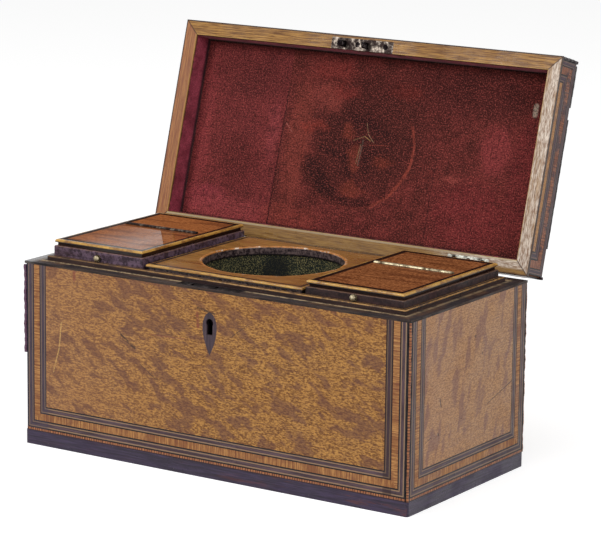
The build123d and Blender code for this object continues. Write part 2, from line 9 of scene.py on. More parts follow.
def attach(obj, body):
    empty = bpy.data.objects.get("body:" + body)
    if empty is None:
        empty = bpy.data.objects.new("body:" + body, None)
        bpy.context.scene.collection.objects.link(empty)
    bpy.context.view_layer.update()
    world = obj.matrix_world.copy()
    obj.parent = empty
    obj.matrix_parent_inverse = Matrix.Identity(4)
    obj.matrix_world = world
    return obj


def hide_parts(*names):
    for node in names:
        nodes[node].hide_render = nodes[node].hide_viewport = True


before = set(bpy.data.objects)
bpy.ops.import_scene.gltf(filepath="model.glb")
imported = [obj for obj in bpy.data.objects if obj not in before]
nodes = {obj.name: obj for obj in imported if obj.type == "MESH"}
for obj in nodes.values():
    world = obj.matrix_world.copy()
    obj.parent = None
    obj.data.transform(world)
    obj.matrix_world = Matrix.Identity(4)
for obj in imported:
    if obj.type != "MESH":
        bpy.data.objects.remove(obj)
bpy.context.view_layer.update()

scene = bpy.context.scene
scene.view_settings.view_transform = "Standard"


# The camera stands to the right of the caddy and a little above its rim, and far off, so that
# the upright corners stay nearly parallel.
azimuth, elevation, roll = radians(33.212), radians(12.066), radians(0.71)
looked_at, distance = Vector((0.021512, 0, 0.128531)), 1.98576
film_width, focal_pixels, picture_pixels = 36.0, 2994.18, 601.0
away = Vector((sin(azimuth) * cos(elevation), -cos(azimuth) * cos(elevation), sin(elevation)))
right = Vector((0, 0, 1)).cross(away).normalized()
up = away.cross(right)
rolled = Matrix((cos(roll) * right + sin(roll) * up, cos(roll) * up - sin(roll) * right, away)).transposed()
camera_data = bpy.data.cameras.new("camera")
camera_data.sensor_width = film_width
camera_data.lens = focal_pixels * film_width / picture_pixels
camera_data.clip_end = 20.0
camera = bpy.data.objects.new("camera", camera_data)
camera.matrix_world = Matrix.Translation(looked_at + distance * away) @ rolled.to_4x4()
scene.collection.objects.link(camera)
scene.camera = camera


# Plain white ground and surroundings. The eye and the gloss of the pieces see them white, while
# the light that they send onto the caddy stays low, and the ground keeps its shadow.
class Term:
    """A number, place or colour that shader nodes work out. Sums on terms are written as usual, and each
    adds a node to the terms' tree."""

    def __init__(self, socket):
        self.socket = socket
        self.tree = socket.id_data

    def out(self, name):
        """Another output of the same node."""
        return Term(self.socket.node.outputs[name])

    def __add__(self, other):
        return calc("ADD", self, other)

    def __sub__(self, other):
        return calc("SUBTRACT", self, other)

    def __rsub__(self, other):
        return calc("SUBTRACT", other, self)

    def __mul__(self, other):
        return calc("MULTIPLY", self, other)

    def __truediv__(self, other):
        return calc("DIVIDE", self, other)

    def __abs__(self):
        return calc("ABSOLUTE", self)

    __radd__ = __add__
    __rmul__ = __mul__


def put(kind, settings=None, tree=None, **inputs):
    """The first output of a new node, in a given tree or in that of its inputs. Terms are linked to its
    inputs, and plain values are set. An input is named by its name, or by an underscore and its number."""
    tree = tree or next(value for value in inputs.values() if isinstance(value, Term)).tree
    made = tree.nodes.new(kind)
    for key, value in (settings or {}).items():
        setattr(made, key, value)
    for key, value in inputs.items():
        socket = made.inputs[int(key[1:])] if key[0] == "_" else made.inputs[key.replace("_", " ")]
        if isinstance(value, Term):
            tree.links.new(value.socket, socket)
        else:
            socket.default_value = value
    return Term(made.outputs[0]) if made.outputs else None


def calc(operation, *values, clamp=False):
    """The result of one sum on numbers."""
    return put("ShaderNodeMath", {"operation": operation, "use_clamp": clamp},
               **{f"_{i}": value for i, value in enumerate(values)})


def seen(tree):
    """One for the eye and in reflections, and nothing for the light that a surface sends out."""
    ray = put("ShaderNodeLightPath", tree=tree)
    reflected = calc("MAXIMUM", ray.out("Is Glossy Ray"), ray.out("Is Transmission Ray"))
    return calc("MAXIMUM", ray.out("Is Camera Ray"), reflected)


def surface(name):
    """A new material with an empty tree."""
    made = bpy.data.materials.new(name)
    made.use_nodes = True
    made.node_tree.nodes.clear()
    return made


white, pale_grey = (1, 1, 1, 1), (0.62, 0.62, 0.62, 1)
world = bpy.data.worlds.new("surroundings")
scene.world = world
world.use_nodes = True
world.node_tree.nodes.clear()
sky = put("ShaderNodeBackground", Color=white, Strength=0.3 + 0.7 * seen(world.node_tree))
put("ShaderNodeOutputWorld", Surface=sky)

white_ground = surface("white ground")
matt = put("ShaderNodeBsdfDiffuse", tree=white_ground.node_tree, Color=pale_grey)
glow = put("ShaderNodeEmission", Color=white, Strength=0.7 * seen(white_ground.node_tree))
put("ShaderNodeOutputMaterial", Surface=put("ShaderNodeAddShader", _0=matt, _1=glow))
ground_mesh = bpy.data.meshes.new("ground")
ground_mesh.from_pydata([(-6, -6, 0), (6, -6, 0), (6, 6, 0), (-6, 6, 0)], [], [(0, 1, 2, 3)])
ground_mesh.materials.append(white_ground)
ground = bpy.data.objects.new("ground", ground_mesh)
scene.collection.objects.link(ground)


# Three soft boxes: the main one high at the left front, a weaker one at the right, and one
# above and behind that lights the upper faces.
def soft_box(name, place, size, power, aim=(0, 0, 0.12)):
    """A square lamp that looks from its place at a point."""
    lamp = bpy.data.lights.new(name, "AREA")
    lamp.shape = "SQUARE"
    lamp.size = size
    lamp.energy = power
    box = bpy.data.objects.new(name, lamp)
    box.location = place
    box.rotation_euler = (Vector(aim) - Vector(place)).to_track_quat("-Z", "Y").to_euler()
    scene.collection.objects.link(box)


soft_box("main_light", (-1.1, -2.0, 1.7), size=0.9, power=30)
soft_box("side_light", (2.2, -0.9, 1.0), size=1.0, power=17)
soft_box("top_light", (0.1, -0.2, 2.2), size=1.0, power=12)


# Panels of the case: satinwood veneer, cut from figured wood with dark blotches that drift down to the
# right, french polished long ago, and since then faded, scratched and flecked with dirt.
def paint(colour):
    """A colour as it looks on a page, from 0 to 255, turned into light. A term stays as it is."""
    if isinstance(colour, Term):
        return colour
    share = np.array(colour) / 255.0
    light = np.where(share <= 0.04045, share / 12.92, ((share + 0.055) / 1.055) ** 2.4)
    return (*light.tolist(), 1.0)


def layered(colour, *layers):
    """A colour with others laid over it one after the other, each by its share."""
    for share, tint in layers:
        both = {"_6": paint(colour), "_7": paint(tint)}
        colour = put("ShaderNodeMix", {"data_type": "RGBA"}, _0=share, **both).out(2)
    return colour


def between(value, low, high, to_low=0.0, to_high=1.0):
    """A number stretched from one range to another, and held inside it."""
    return put("ShaderNodeMapRange", {"clamp": True, "interpolation_type": "SMOOTHSTEP"},
               Value=value, From_Min=low, From_Max=high, To_Min=to_low, To_Max=to_high)


def placed(place, turn=(0, 0, 0), scale=(1, 1, 1), shift=(0, 0, 0)):
    """A place scaled, turned and then moved."""
    return put("ShaderNodeMapping", Vector=place, Rotation=tuple(turn), Scale=scale, Location=shift)


def slanted(place, angle, scale):
    """A place turned in its plane and then scaled, so that stretched noise lies at that angle."""
    return placed(placed(place, turn=(0, 0, radians(angle))), scale=scale)


def noise(place, scale=1.0, detail=4.0, roughness=0.6, distortion=0.0):
    """Cloudy noise from 0 to 1. A scale of three numbers stretches it."""
    if isinstance(scale, tuple):
        place, scale = placed(place, scale=scale), 1.0
    return put("ShaderNodeTexNoise", Vector=place, Scale=scale, Detail=detail, Roughness=roughness,
               Distortion=distortion)


def vector(operation, *values, **inputs):
    """The result of one sum on places. It is a number for a length, a distance or a dot product."""
    numbered = {f"_{i}": value for i, value in enumerate(values)}
    made = put("ShaderNodeVectorMath", {"operation": operation}, **numbered, **inputs)
    return made.out("Value") if operation in ("LENGTH", "DISTANCE", "DOT_PRODUCT") else made


def split(place):
    """The three coordinates of a place."""
    x = put("ShaderNodeSeparateXYZ", Vector=place)
    return x, x.out("Y"), x.out("Z")


def joined(x, y, z=0.0):
    """A place from its coordinates."""
    return put("ShaderNodeCombineXYZ", X=x, Y=y, Z=z)


def effect(name, **inputs):
    """A new node group and its inputs: places, which are given as None, and numbers with a first value."""
    group = bpy.data.node_groups.new(name, "ShaderNodeTree")
    for title, value in inputs.items():
        kind = "NodeSocketVector" if value is None else "NodeSocketFloat"
        socket = group.interface.new_socket(title, in_out="INPUT", socket_type=kind)
        if value is not None:
            socket.default_value = value
    given = group.nodes.new("NodeGroupInput").outputs
    return group, *(Term(given[title]) for title in inputs)


def give_out(group, **results):
    """Gives a node group its results, which are numbers."""
    for title in results:
        group.interface.new_socket(title, in_out="OUTPUT", socket_type="NodeSocketFloat")
    put("NodeGroupOutput", **results)


def use(group, **inputs):
    """A shared effect placed in a material, as its results by name."""
    made = put("ShaderNodeGroup", {"node_tree": group}, **inputs)
    return {socket.name: Term(socket) for socket in made.socket.node.outputs}


# Straight grain along X: long fibres, darker growth bands, and short open pores.
grain, place = effect("straight grain", Vector=None)
give_out(grain,
         Fibre=noise(place, (45, 900, 900), detail=6, roughness=0.7),
         Growth=noise(place, (7, 70, 70), detail=3, distortion=1.2),
         Pore=between(noise(place, (260, 2600, 2600), detail=2), 0.62, 0.72))

# Age on polish: fine scratches, dust in the pits and dulled patches.
age, place, dull = effect("aged polish", Vector=None, Dull=0.5)
patch = noise(place, 38, detail=5, roughness=0.65)
speck = between(noise(place, 620, detail=2, roughness=0.5), 0.70, 0.78)
scratch = between(noise(slanted(place, 24, (90, 1900, 1900)), detail=2), 0.70, 0.77)
give_out(age,
         Roughness=0.24 + between(patch, 0.35, 0.7) * dull * 0.45 + calc("MAXIMUM", speck, scratch) * 0.25,
         Speck=speck, Scratch=scratch, Height=patch - (speck + scratch))

# A short mark along a line, such as a crack: one at the line, falling to nothing a width away.
mark, place, start, end, width = effect("mark along a line", Vector=None, Start=None, End=None, Width=0.001)
along = vector("SUBTRACT", end, start)
reach = vector("SUBTRACT", place, start)
share = calc("DIVIDE", vector("DOT_PRODUCT", reach, along), vector("DOT_PRODUCT", along, along), clamp=True)
miss = vector("DISTANCE", reach, vector("SCALE", along, Scale=share))
give_out(mark, Mark=between(miss / width, 0.4, 1.0, 1.0, 0.0))


def mark_on(place, start, end, width):
    """One mark on a flat place, between two points of it."""
    return use(mark, Vector=place, Start=(*start, 0), End=(*end, 0), Width=width)["Mark"]


def grained(place, dull):
    """The grain of wood and the age of its polish at a place."""
    return use(grain, Vector=place), use(age, Vector=place, Dull=dull)


def finish(material, colour, rough, height, depth, gloss=0.0, coat_rough=0.12, shine=0.22, metal=0.0,
           sheen=0.0):
    """Gives a material its shader, fed by its colour, its roughness and a height that is so deep."""
    bump = put("ShaderNodeBump", Strength=1.0, Distance=depth, Height=height)
    skin = put("ShaderNodeBsdfPrincipled", Base_Color=colour, Roughness=rough, Normal=bump, Metallic=metal,
               Coat_Weight=gloss, Coat_Roughness=coat_rough, Sheen_Weight=sheen, Specular_IOR_Level=shine)
    put("ShaderNodeOutputMaterial", Surface=skin)
    return material


def own_place(material, turn=(0, 0, 0), shift=(0, 0, 0)):
    """The place on the piece itself, turned so that X runs along the grain."""
    here = put("ShaderNodeTexCoord", tree=material.node_tree).out("Object")
    return placed(here, turn=turn, shift=shift)


def dress(material, *names):
    """Gives nodes of the frame a material."""
    for name in names:
        nodes[name].data.materials.clear()
        nodes[name].data.materials.append(material)


# Turns that lay the grain along X and the height of a face along Y
facing_front = Matrix(((1, 0, 0), (0, 0, 1), (0, -1, 0))).to_euler()
facing_side = Matrix(((0, 1, 0), (0, 0, 1), (1, 0, 0))).to_euler()


def figured(place, light, deep, blotch, drift, size, share, faded, marks=(), browned=0.0):
    """The colour, roughness and height of figured wood: bright flecks over a deeper ground, broken fibres
    along the grain, and blotches that drift at an angle. Marks are given by their two ends, width and
    colour. The upper edge may be browned by handling."""
    woven, worn = grained(place, dull=0.5)
    bent = vector("ADD", place, joined(0.0, noise(place, 34, detail=2) * 0.014))
    figure = noise(slanted(bent, -drift, size), detail=1.2, roughness=0.5)
    broad = noise(bent, (9, 16, 9), detail=2)
    ripple = noise(slanted(bent, -drift * 0.6, (95, 330, 100)), detail=3)
    strand = noise(slanted(bent, -drift * 0.3, (120, 900, 400)), roughness=0.7)
    fleck = noise(place, (420, 1050, 1050), detail=1) * 0.6 + noise(place, (700, 1500, 1500), detail=1) * 0.4
    dark = figure * 0.82 + ripple * 0.18 + (broad - 0.5) * 0.10
    across, up, out = split(place)
    colour = layered(
        deep,
        (between(fleck * 0.74 + strand * 0.26, 0.39, 0.61), light),
        (between(across, -0.15, 0.02, 0.28, 0.0), faded),
        (between(dark, 0.50, 0.61, 0.0, share), blotch),
        (between(up + broad * 0.03, 0.118, 0.140, 0.0, browned), (132, 74, 38)),
        (between(woven["Fibre"], 0.5, 0.66, 0.0, 0.35), blotch),
        (woven["Pore"] * 0.5, (84, 44, 30)),
        (worn["Speck"] * 0.6, (58, 32, 26)),
        (worn["Scratch"] * 0.4, light))
    height = worn["Height"] + woven["Fibre"] * 0.5
    flat = vector("MULTIPLY", place, (1, 1, 0))
    for start, end, width, tint in marks:
        line = mark_on(flat, start, end, width) * between(strand, 0.36, 0.52, 0.2, 0.85)
        colour = layered(colour, (line, tint))
        height = height - line
    return colour, worn["Roughness"], height


def satinwood(name, turn, *figure, **more):
    """Figured wood with an old thin polish."""
    made = surface(name)
    return finish(made, *figured(own_place(made, turn), *figure, **more), depth=0.00012, gloss=0.08)


crack, scar, repair = (52, 32, 28), (214, 168, 100), (140, 74, 52)
front_marks = [
    ((-0.0715, 0.087), (-0.066, 0.083), 0.001, crack), ((-0.066, 0.083), (-0.0605, 0.0795), 0.0013, crack),
    ((-0.1215, 0.088), (-0.1235, 0.07), 0.0007, scar), ((-0.1235, 0.07), (-0.1285, 0.053), 0.0007, scar),
    ((-0.01, 0.11), (-0.0092, 0.101), 0.0016, repair), ((-0.0095, 0.1136), (0.0035, 0.1112), 0.0009, crack),
    ((-0.1105, 0.124), (-0.1105, 0.119), 0.0016, repair), ((0.0175, 0.098), (0.0295, 0.107), 0.0003, crack),
    ((-0.048, 0.0905), (-0.02, 0.0912), 0.0004, repair), ((-0.056, 0.069), (-0.042, 0.06), 0.0003, crack),
]
side_marks = [
    ((0.024, 0.0535), (0.056, 0.0625), 0.0005, crack), ((-0.054, 0.044), (-0.047, 0.046), 0.0004, crack),
    ((-0.0365, 0.069), (-0.0355, 0.064), 0.0009, crack), ((0.0065, 0.1024), (0.0066, 0.1016), 0.0011, crack),
    ((0.016, 0.0892), (0.0161, 0.0886), 0.001, crack), ((-0.038, 0.0463), (-0.0379, 0.0457), 0.0012, crack),
]
front_satinwood = satinwood("front satinwood", facing_front, (203, 147, 77), (114, 70, 33), (102, 62, 54),
                            -24, (72, 158, 60), 0.60, (176, 128, 104), front_marks, browned=0.15)
side_satinwood = satinwood("side satinwood", facing_side, (201, 152, 105), (152, 105, 66), (108, 66, 70),
                           76, (40, 125, 60), 0.50, (186, 136, 112), side_marks)
dress(front_satinwood, "front_panel", "back_panel")
dress(side_satinwood, "left_panel", "right_panel")


# Inlaid bands of the case: on each face, strips of rosewood edged with black and boxwood lines run up the
# sides and along the foot on both sides of an orange crossbanding, mitred and glued down.
half_width, half_depth = 0.1525, 0.074
foot_top, boards_top = 0.0097, 0.1254


def walls(index):
    """Faces between closed rings of points that follow each other, from an array of the points' numbers."""
    turned = np.roll(index, -1, axis=-1)
    corners = (index[..., :-1, :], turned[..., :-1, :], turned[..., 1:, :], index[..., 1:, :])
    return np.stack(corners, axis=-1).reshape(-1, 4).tolist()


def tube(points, chart):
    """The points, faces and map of a run of closed rings that is closed at both ends."""
    index = np.arange(points[..., 0].size).reshape(points.shape[:-1])
    ring = index.shape[-1]
    ends = index[..., 0, ::-1].reshape(-1, ring).tolist() + index[..., -1, :].reshape(-1, ring).tolist()
    return points.reshape(-1, 3), walls(index) + ends, chart.reshape(-1, 2)


def mitred(corners, profile, place, closed=False):
    """Strips along straight runs that meet in mitres. A point lies at either end of its run, at the corner
    moved inwards along the mitre by the profile's first number, and is raised by its second. The mitre is
    the sum of the two runs' inward ways over one plus their product. The map gives the way along, and the
    profile's third number."""
    corners = np.array(corners, float)
    number = len(corners) if closed else len(corners) - 1
    runs = np.arange(number)
    start, end = corners[:number], corners[(runs + 1) % len(corners)]
    length = np.linalg.norm(end - start, axis=1, keepdims=True)
    way = (end - start) / length
    inward = np.stack((-way[:, 1], way[:, 0]), axis=1)
    across, height, share = np.array(profile, float).T
    flat = []
    for corner, neighbour in ((start, runs - 1), (end, runs + 1)):
        near = np.take(inward, neighbour, axis=0, mode="wrap" if closed else "clip")
        mitre = (near + inward) / (1 + (near * inward).sum(1, keepdims=True))
        flat.append(corner[:, None] + across[:, None] * mitre[:, None])
    flat = np.stack(flat, axis=1)
    points = place(flat[..., 0], flat[..., 1], np.broadcast_to(height, flat.shape[:3]))
    along = ((flat - start[:, None, None]) * way[:, None, None]).sum(-1)
    along = along + (np.cumsum(length) - length[:, 0])[:, None, None]
    return tube(points, np.stack((along, np.broadcast_to(share, along.shape)), axis=-1))


def assembled(name, parts, material, body, smooth=False):
    """One object from several parts, each with its points, faces and map, with its faces outwards."""
    points, faces, charts = zip(*parts)
    offsets = np.cumsum([0] + [len(part) for part in points]).tolist()
    moved = [[corner + offset for corner in face] for part, offset in zip(faces, offsets) for face in part]
    mesh = bpy.data.meshes.new(name)
    mesh.from_pydata(np.concatenate(points).tolist(), [], moved)
    corner_of = np.empty(len(mesh.loops), dtype=np.int32)
    mesh.loops.foreach_get("vertex_index", corner_of)
    chart = np.concatenate(charts)[corner_of].astype(np.float32)
    mesh.uv_layers.new(name="way").data.foreach_set("uv", chart.ravel())
    mesh.polygons.foreach_set("use_smooth", np.full(len(mesh.polygons), smooth))
    work = bmesh.new()
    work.from_mesh(mesh)
    bmesh.ops.recalc_face_normals(work, faces=work.faces)
    work.to_mesh(mesh)
    work.free()
    mesh.materials.append(material)
    piece = bpy.data.objects.new(name, mesh)
    scene.collection.objects.link(piece)
    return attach(piece, body)


def slab(inset, width, thickness=0.001, soft=0.0001):
    """The profile of a flat strip, from its inset, width and thickness, with slightly rounded edges."""
    low, high = inset, inset + width
    ring = [(low, -thickness), (high, -thickness), (high, -soft), (high - soft, 0), (low + soft, 0),
            (low, -soft)]
    return [(across, height, (across - inset) / width) for across, height in ring]


def way_of(material):
    """The way along a strip, and the share of its width."""
    return split(put("ShaderNodeUVMap", {"uv_map": "way"}, material.node_tree))[:2]


def banding(name, width, light, deep, lines=(), cross=False, gloss=0.05, patchy=0.0, patch=(0, 0, 0),
            tinted=None):
    """Wood strip with its grain along it, or across it, and lines from one share of its width to another.
    A function may lay more tints over its colour."""
    made = surface(name)
    along, share = way_of(made)
    across = share * width
    place = joined(across, along) if cross else joined(along, across)
    woven, worn = grained(place, dull=0.8)
    colour = layered(deep, (between(woven["Fibre"], 0.38, 0.62), light),
                     (between(woven["Growth"], 0.45, 0.75, 0.0, 0.6), deep))
    if cross:
        lobe = noise(place, (60, 420, 1), detail=3, roughness=0.7)
        colour = layered(colour, (between(lobe, 0.50, 0.62, 0.0, 0.7), deep))
    colour = layered(colour, (between(noise(place, 70, detail=3), 0.5, 0.62, 0.0, patchy), patch),
                     (woven["Pore"] * 0.4, (30, 18, 16)))
    wavy = share + (noise(place, 220, detail=2) - 0.5) * 0.05
    for low, high, tint in lines:
        inside = between(wavy, low - 0.02, low + 0.02) * between(wavy, high - 0.02, high + 0.02, 1.0, 0.0)
        colour = layered(colour, (inside, tint))
    colour = layered(colour, (worn["Speck"] * 0.5, (26, 18, 20)))
    if tinted:
        colour = tinted(made, colour)
    return finish(made, colour, worn["Roughness"], worn["Height"] + woven["Fibre"], depth=0.0001,
                  gloss=gloss)


black_line = (16, 10, 14)


def edges(light_line):
    """A black and a light line along each edge of a band."""
    return [(-0.1, 0.16, black_line), (0.18, 0.32, light_line),
            (0.70, 0.82, light_line), (0.85, 1.1, black_line)]


def rosewood_tint_by_place(material, colour):
    """The tint of the rosewood: greyer at the left corner, darker at the front's right one, and dull on the
    side."""
    x, y, z = split(own_place(material))
    at_right = between(x, 0.1330, 0.1345) * between(x, 0.1400, 0.1404, 0.55, 0.0)
    return layered(
        colour,
        (between(x, -0.134, -0.132, 0.45, 0.0), (60, 54, 72)),
        (at_right * between(y, -0.0738, -0.0732, 1.0, 0.0), (40, 16, 20)),
        (between(x, 0.1521, 0.1523, 0.0, 0.25), (62, 44, 54)))


# The four sides, each as a function that places flat strips on it, and half its width
case_sides = [
    (lambda s, t, h: np.stack((s, -half_depth - h, t), axis=-1), half_width),
    (lambda s, t, h: np.stack((half_width + h, s, t), axis=-1), half_depth),
    (lambda s, t, h: np.stack((-s, half_depth + h, t), axis=-1), half_width),
    (lambda s, t, h: np.stack((-half_width - h, -s, t), axis=-1), half_depth),
]


def case_strips(inset, width):
    """Strips up the sides and along the foot of all four faces."""
    return [mitred([(-half, boards_top), (-half, foot_top), (half, foot_top), (half, boards_top)],
                   slab(inset, width), place) for place, half in case_sides]


dark_band = banding("rosewood band", 0.0056, (102, 80, 88), (60, 43, 50), edges((158, 128, 100)),
                    tinted=rosewood_tint_by_place)
orange_band = banding("orange crossbanding", 0.0048, (206, 150, 90), (134, 82, 50), cross=True,
                      patchy=0.4, patch=(112, 60, 48))
for name, inset, width, wood, node, slot in (
    ("inlaid_outer_bands", 0.002, 0.0058, dark_band, "case_outer_bands", "rosewood"),
    ("inlaid_crossbanding", 0.0078, 0.0048, orange_band, "case_crossbanding", "crossbanding"),
    ("inlaid_inner_bands", 0.0126, 0.0054, dark_band, "case_inner_bands", "rosewood"),
):
    bands = assembled(name, case_strips(inset, width), wood, "case")
    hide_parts(node)


# Stringing of the case: square strips of light wood let into the upright corners, and a thin one
# with dark ticks above the plinth. The left front corner has lost its lower half, and the rest stands loose.
string_width = 0.002
near_x, near_y = half_width - string_width, half_depth - string_width
corner_low, loose_low, loose_high, loosened = foot_top + 0.0002, 0.0636, 0.1243, 0.0009


def stick(low, high, turned=False, rows=40, wobble=0.00012, soft=0.00035):
    """A squared stick between two corners, its edges rounded, its length carried along Z or along X. Each
    ring is the rounded square, moved a little aside by the sum of two sines of the way along."""
    low, high = np.array(low, float), np.array(high, float)
    if turned:
        low, high = low[[2, 1, 0]], high[[2, 1, 0]]
    wide, deep, long = high - low
    ring = np.array([(soft, 0), (wide - soft, 0), (wide, soft), (wide, deep - soft), (wide - soft, deep),
                     (soft, deep), (0, deep - soft), (0, soft)])
    rise = np.linspace(0, long, rows + 1)
    wave = wobble * (np.sin(rise * 310 + low[0] * 90) + np.sin(rise * 1130 + low[1] * 70))
    points = np.empty((rows + 1, len(ring), 3))
    points[..., :2] = ring + low[:2] + wave[:, None, None]
    points[..., 2] = low[2] + rise[:, None]
    if turned:
        points = points[..., ::-1]
    share = np.array([0.0, 0.3, 0.35, 0.6, 0.65, 0.9, 0.95, 1.0])
    return tube(points, np.stack(np.broadcast_arrays(rise[:, None], share[None, :]), axis=-1))


def upright(x, y, low, high):
    """An upright stick of the strings' width, from the place of its lower corner."""
    return stick((x, y, low), (x + string_width, y + string_width, high))


def ticks(material, colour):
    """Uneven dark ticks across a string."""
    along, share = way_of(material)
    beat = calc("FRACT", along * 520.0 + noise(joined(along, 0.0), 90) * 3.0)
    tick = between(beat, 0.50, 0.62) * between(beat, 0.90, 1.0, 0.85, 0.0)
    return layered(colour, (tick * 0.8, (48, 24, 28)))


def corner_ticks(material, colour):
    """The ticks, black wood between a corner's string and the bands, and the greyer loose string."""
    x, y, z = split(own_place(material))
    from_corner = calc("MAXIMUM", half_width - abs(x), half_depth - abs(y))
    return layered(ticks(material, colour), (between(from_corner, 0.0010, 0.0012), black_line),
                   (between(x, -0.151, -0.149, 0.85, 0.0), (86, 60, 92)))


string_light, string_deep, foot_line = (206, 140, 92), (146, 86, 58), (-0.1, 0.3, (52, 34, 40))
corner_wood = banding("corner string", string_width, string_light, string_deep, cross=True,
                      tinted=corner_ticks)
corner_strings = assembled("corner_strings", [
    upright(-half_width - loosened, -half_depth, loose_low, loose_high),
    upright(-half_width, near_y, corner_low, boards_top),
    upright(near_x, -half_depth, corner_low, boards_top),
    upright(near_x, near_y, corner_low, boards_top),
], corner_wood, "case")
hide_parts("case_stringing")
foot_wood = banding("foot string", string_width, string_light, string_deep, [foot_line], cross=True,
                    tinted=ticks)
foot_string = assembled("foot_string", [
    mitred([(-half + string_width, foot_top), (half - string_width, foot_top)], slab(0, string_width), place)
    for place, half in case_sides
], foot_wood, "case")
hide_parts("case_stringing")


# Plinth: four strips of dark stained wood round the foot, mitred, with red streaks where the stain has worn.
def either(share, first, second):
    """The first place where a share is nothing, and the second where it is one."""
    return put("ShaderNodeMix", {"data_type": "VECTOR"}, _0=share, _4=first, _5=second).out(1)


plinth_stain = surface("plinth stain")
facing = put("ShaderNodeTexCoord", tree=plinth_stain.node_tree).out("Normal")
sideways = calc("GREATER_THAN", abs(split(facing)[0]), 0.7)
place = either(sideways, own_place(plinth_stain, facing_front), own_place(plinth_stain, facing_side))
woven, worn = grained(place, dull=0.9)
streak = noise(place, (28, 260, 260), roughness=0.65)
worn_off = between(streak, 0.52, 0.66) * between(split(own_place(plinth_stain))[0], -0.04, 0.09, 0.05, 0.55)
colour = layered(
    (42, 33, 50),
    (between(woven["Fibre"], 0.35, 0.7), (74, 61, 88)),
    (worn_off * (1.0 - sideways), (112, 58, 44)),
    (worn["Speck"] * 0.5, (120, 106, 110)))
finish(plinth_stain, colour, worn["Roughness"], worn["Height"] + woven["Fibre"], depth=0.00012, gloss=0.15)
dress(plinth_stain, "plinth")


# Capping of the rim: black and brown polished strips over the upper edges of the boards, with a thin
# light line, worn dull by the lid.
def inset_from(place, wide, deep):
    """How far a place lies in from the sides of an upright rectangle about the middle, and whether the
    nearer side is a long one."""
    x, y, z = split(place)
    to_side, to_front = wide - abs(x), deep - abs(y)
    return calc("MINIMUM", to_side, to_front), calc("LESS_THAN", to_front, to_side)


def along_rail(place, long_side):
    """The place with X along the nearer side, so that the grain turns at the mitres."""
    x, y, z = split(place)
    return either(long_side, joined(y, x, z), place)


rim_polish = surface("rim polish")
place = own_place(rim_polish)
inset, long_side = inset_from(place, half_width, half_depth)
run = along_rail(place, long_side)
woven, worn = grained(run, dull=0.9)
rubbed = between(noise(run, 60), 0.45, 0.65) * between(inset, 0.0015, 0.004)
chipped = between(noise(run, 240, roughness=0.7), 0.40, 0.56, 0.25, 1.0)
light_line = between(inset, 0.0068, 0.0073) * between(inset, 0.0095, 0.0100, 1.0, 0.0) * chipped
arris = between(inset, 0.0003, 0.0006, 0.15, 0.0)
colour = layered(
    (16, 12, 16),
    (between(woven["Fibre"], 0.35, 0.65), (44, 32, 34)),
    (rubbed * 0.3, (120, 84, 54)),
    (light_line * between(long_side, 0.0, 1.0, 0.45, 0.9), (176, 152, 118)),
    (arris * between(woven["Fibre"], 0.4, 0.6), (140, 112, 84)))
finish(rim_polish, colour, worn["Roughness"] + 0.12, worn["Height"] + woven["Fibre"], depth=0.0001,
       gloss=between(split(place)[0], -0.150, -0.142, 0.9, 0.0))
dress(rim_polish, "rim_capping")


# Lip: the inner lining of the walls stands above the rim and keeps the lid in place. It is dark, and both
# edges of its top are rubbed down to golden wood.
lip_half_width, lip_half_depth = 0.1415, 0.063
lip_wood = surface("lip wood")
place = own_place(lip_wood)
x, y, z = split(place)
inset, long_side = inset_from(place, lip_half_width, lip_half_depth)
run = along_rail(place, long_side)
woven, worn = grained(run, dull=0.9)
edge = calc("MAXIMUM", between(inset, 0.0004, 0.0009, 1.0, 0.0), between(inset, 0.0021, 0.0026))
broken = between(noise(run, 130, roughness=0.7), 0.36, 0.56, 0.25, 1.0) * between(x, -0.10, -0.02, 0.35, 0.9)
colour = layered(
    (30, 22, 24),
    (between(woven["Fibre"], 0.3, 0.7), (70, 50, 46)),
    (edge * between(z, 0.1290, 0.1297) * broken, (186, 140, 78)),
    (worn["Speck"] * 0.6, (146, 116, 96)))
finish(lip_wood, colour, worn["Roughness"], worn["Height"] + woven["Fibre"], depth=0.00012)
dress(lip_wood, "lip_lining")


# Boards, partitions and bearers inside: plain mahogany, brown with age and never polished. The front board
# is painted black behind the keyhole, as painted shade inside the keyhole.
def plain_wood(name, light, deep, tinted=None):
    """Straight-grained wood. A function may lay more tints over its colour."""
    made = surface(name)
    woven, worn = grained(own_place(made), dull=0.9)
    colour = layered(
        deep,
        (between(woven["Fibre"], 0.3, 0.7), light),
        (between(woven["Growth"], 0.4, 0.7, 0.0, 0.6), deep),
        (woven["Pore"] * 0.6, (24, 12, 10)),
        (worn["Speck"] * 0.5, (30, 20, 18)))
    if tinted:
        colour = tinted(made, colour)
    return finish(made, colour, worn["Roughness"] + 0.25, worn["Height"] + woven["Fibre"], depth=0.00015)


def keyhole_shade(material, colour):
    """Painted shade round the keyhole: the board is made black where it shows through it."""
    place = own_place(material)
    keyhole_darkness = use(mark, Vector=place, Start=(0, -0.074, 0.104), End=(0, -0.060, 0.096), Width=0.011)
    return layered(colour, (keyhole_darkness["Mark"], (12, 8, 8)))


mahogany = (122, 78, 50), (78, 46, 32)
dress(plain_wood("raw mahogany", *mahogany), "bottom_board", "back_board", "left_board", "right_board",
      "lid_rails", "lid_top_board")
dress(plain_wood("mahogany round the keyhole", *mahogany, tinted=keyhole_shade), "front_board")
dress(plain_wood("stained wood", (58, 38, 36), (34, 22, 24)), "partitions")


# Platform over the well: a polished board with a round hole for the mixing bowl. The hole's edge is
# chipped by the bowl's foot, and shows grey wood under the polish.
platform_low, platform_top = 0.1275, 0.1335
platform_x, platform_y, rebate, hole_radius = 0.0595, 0.057, 0.0011, 0.0475


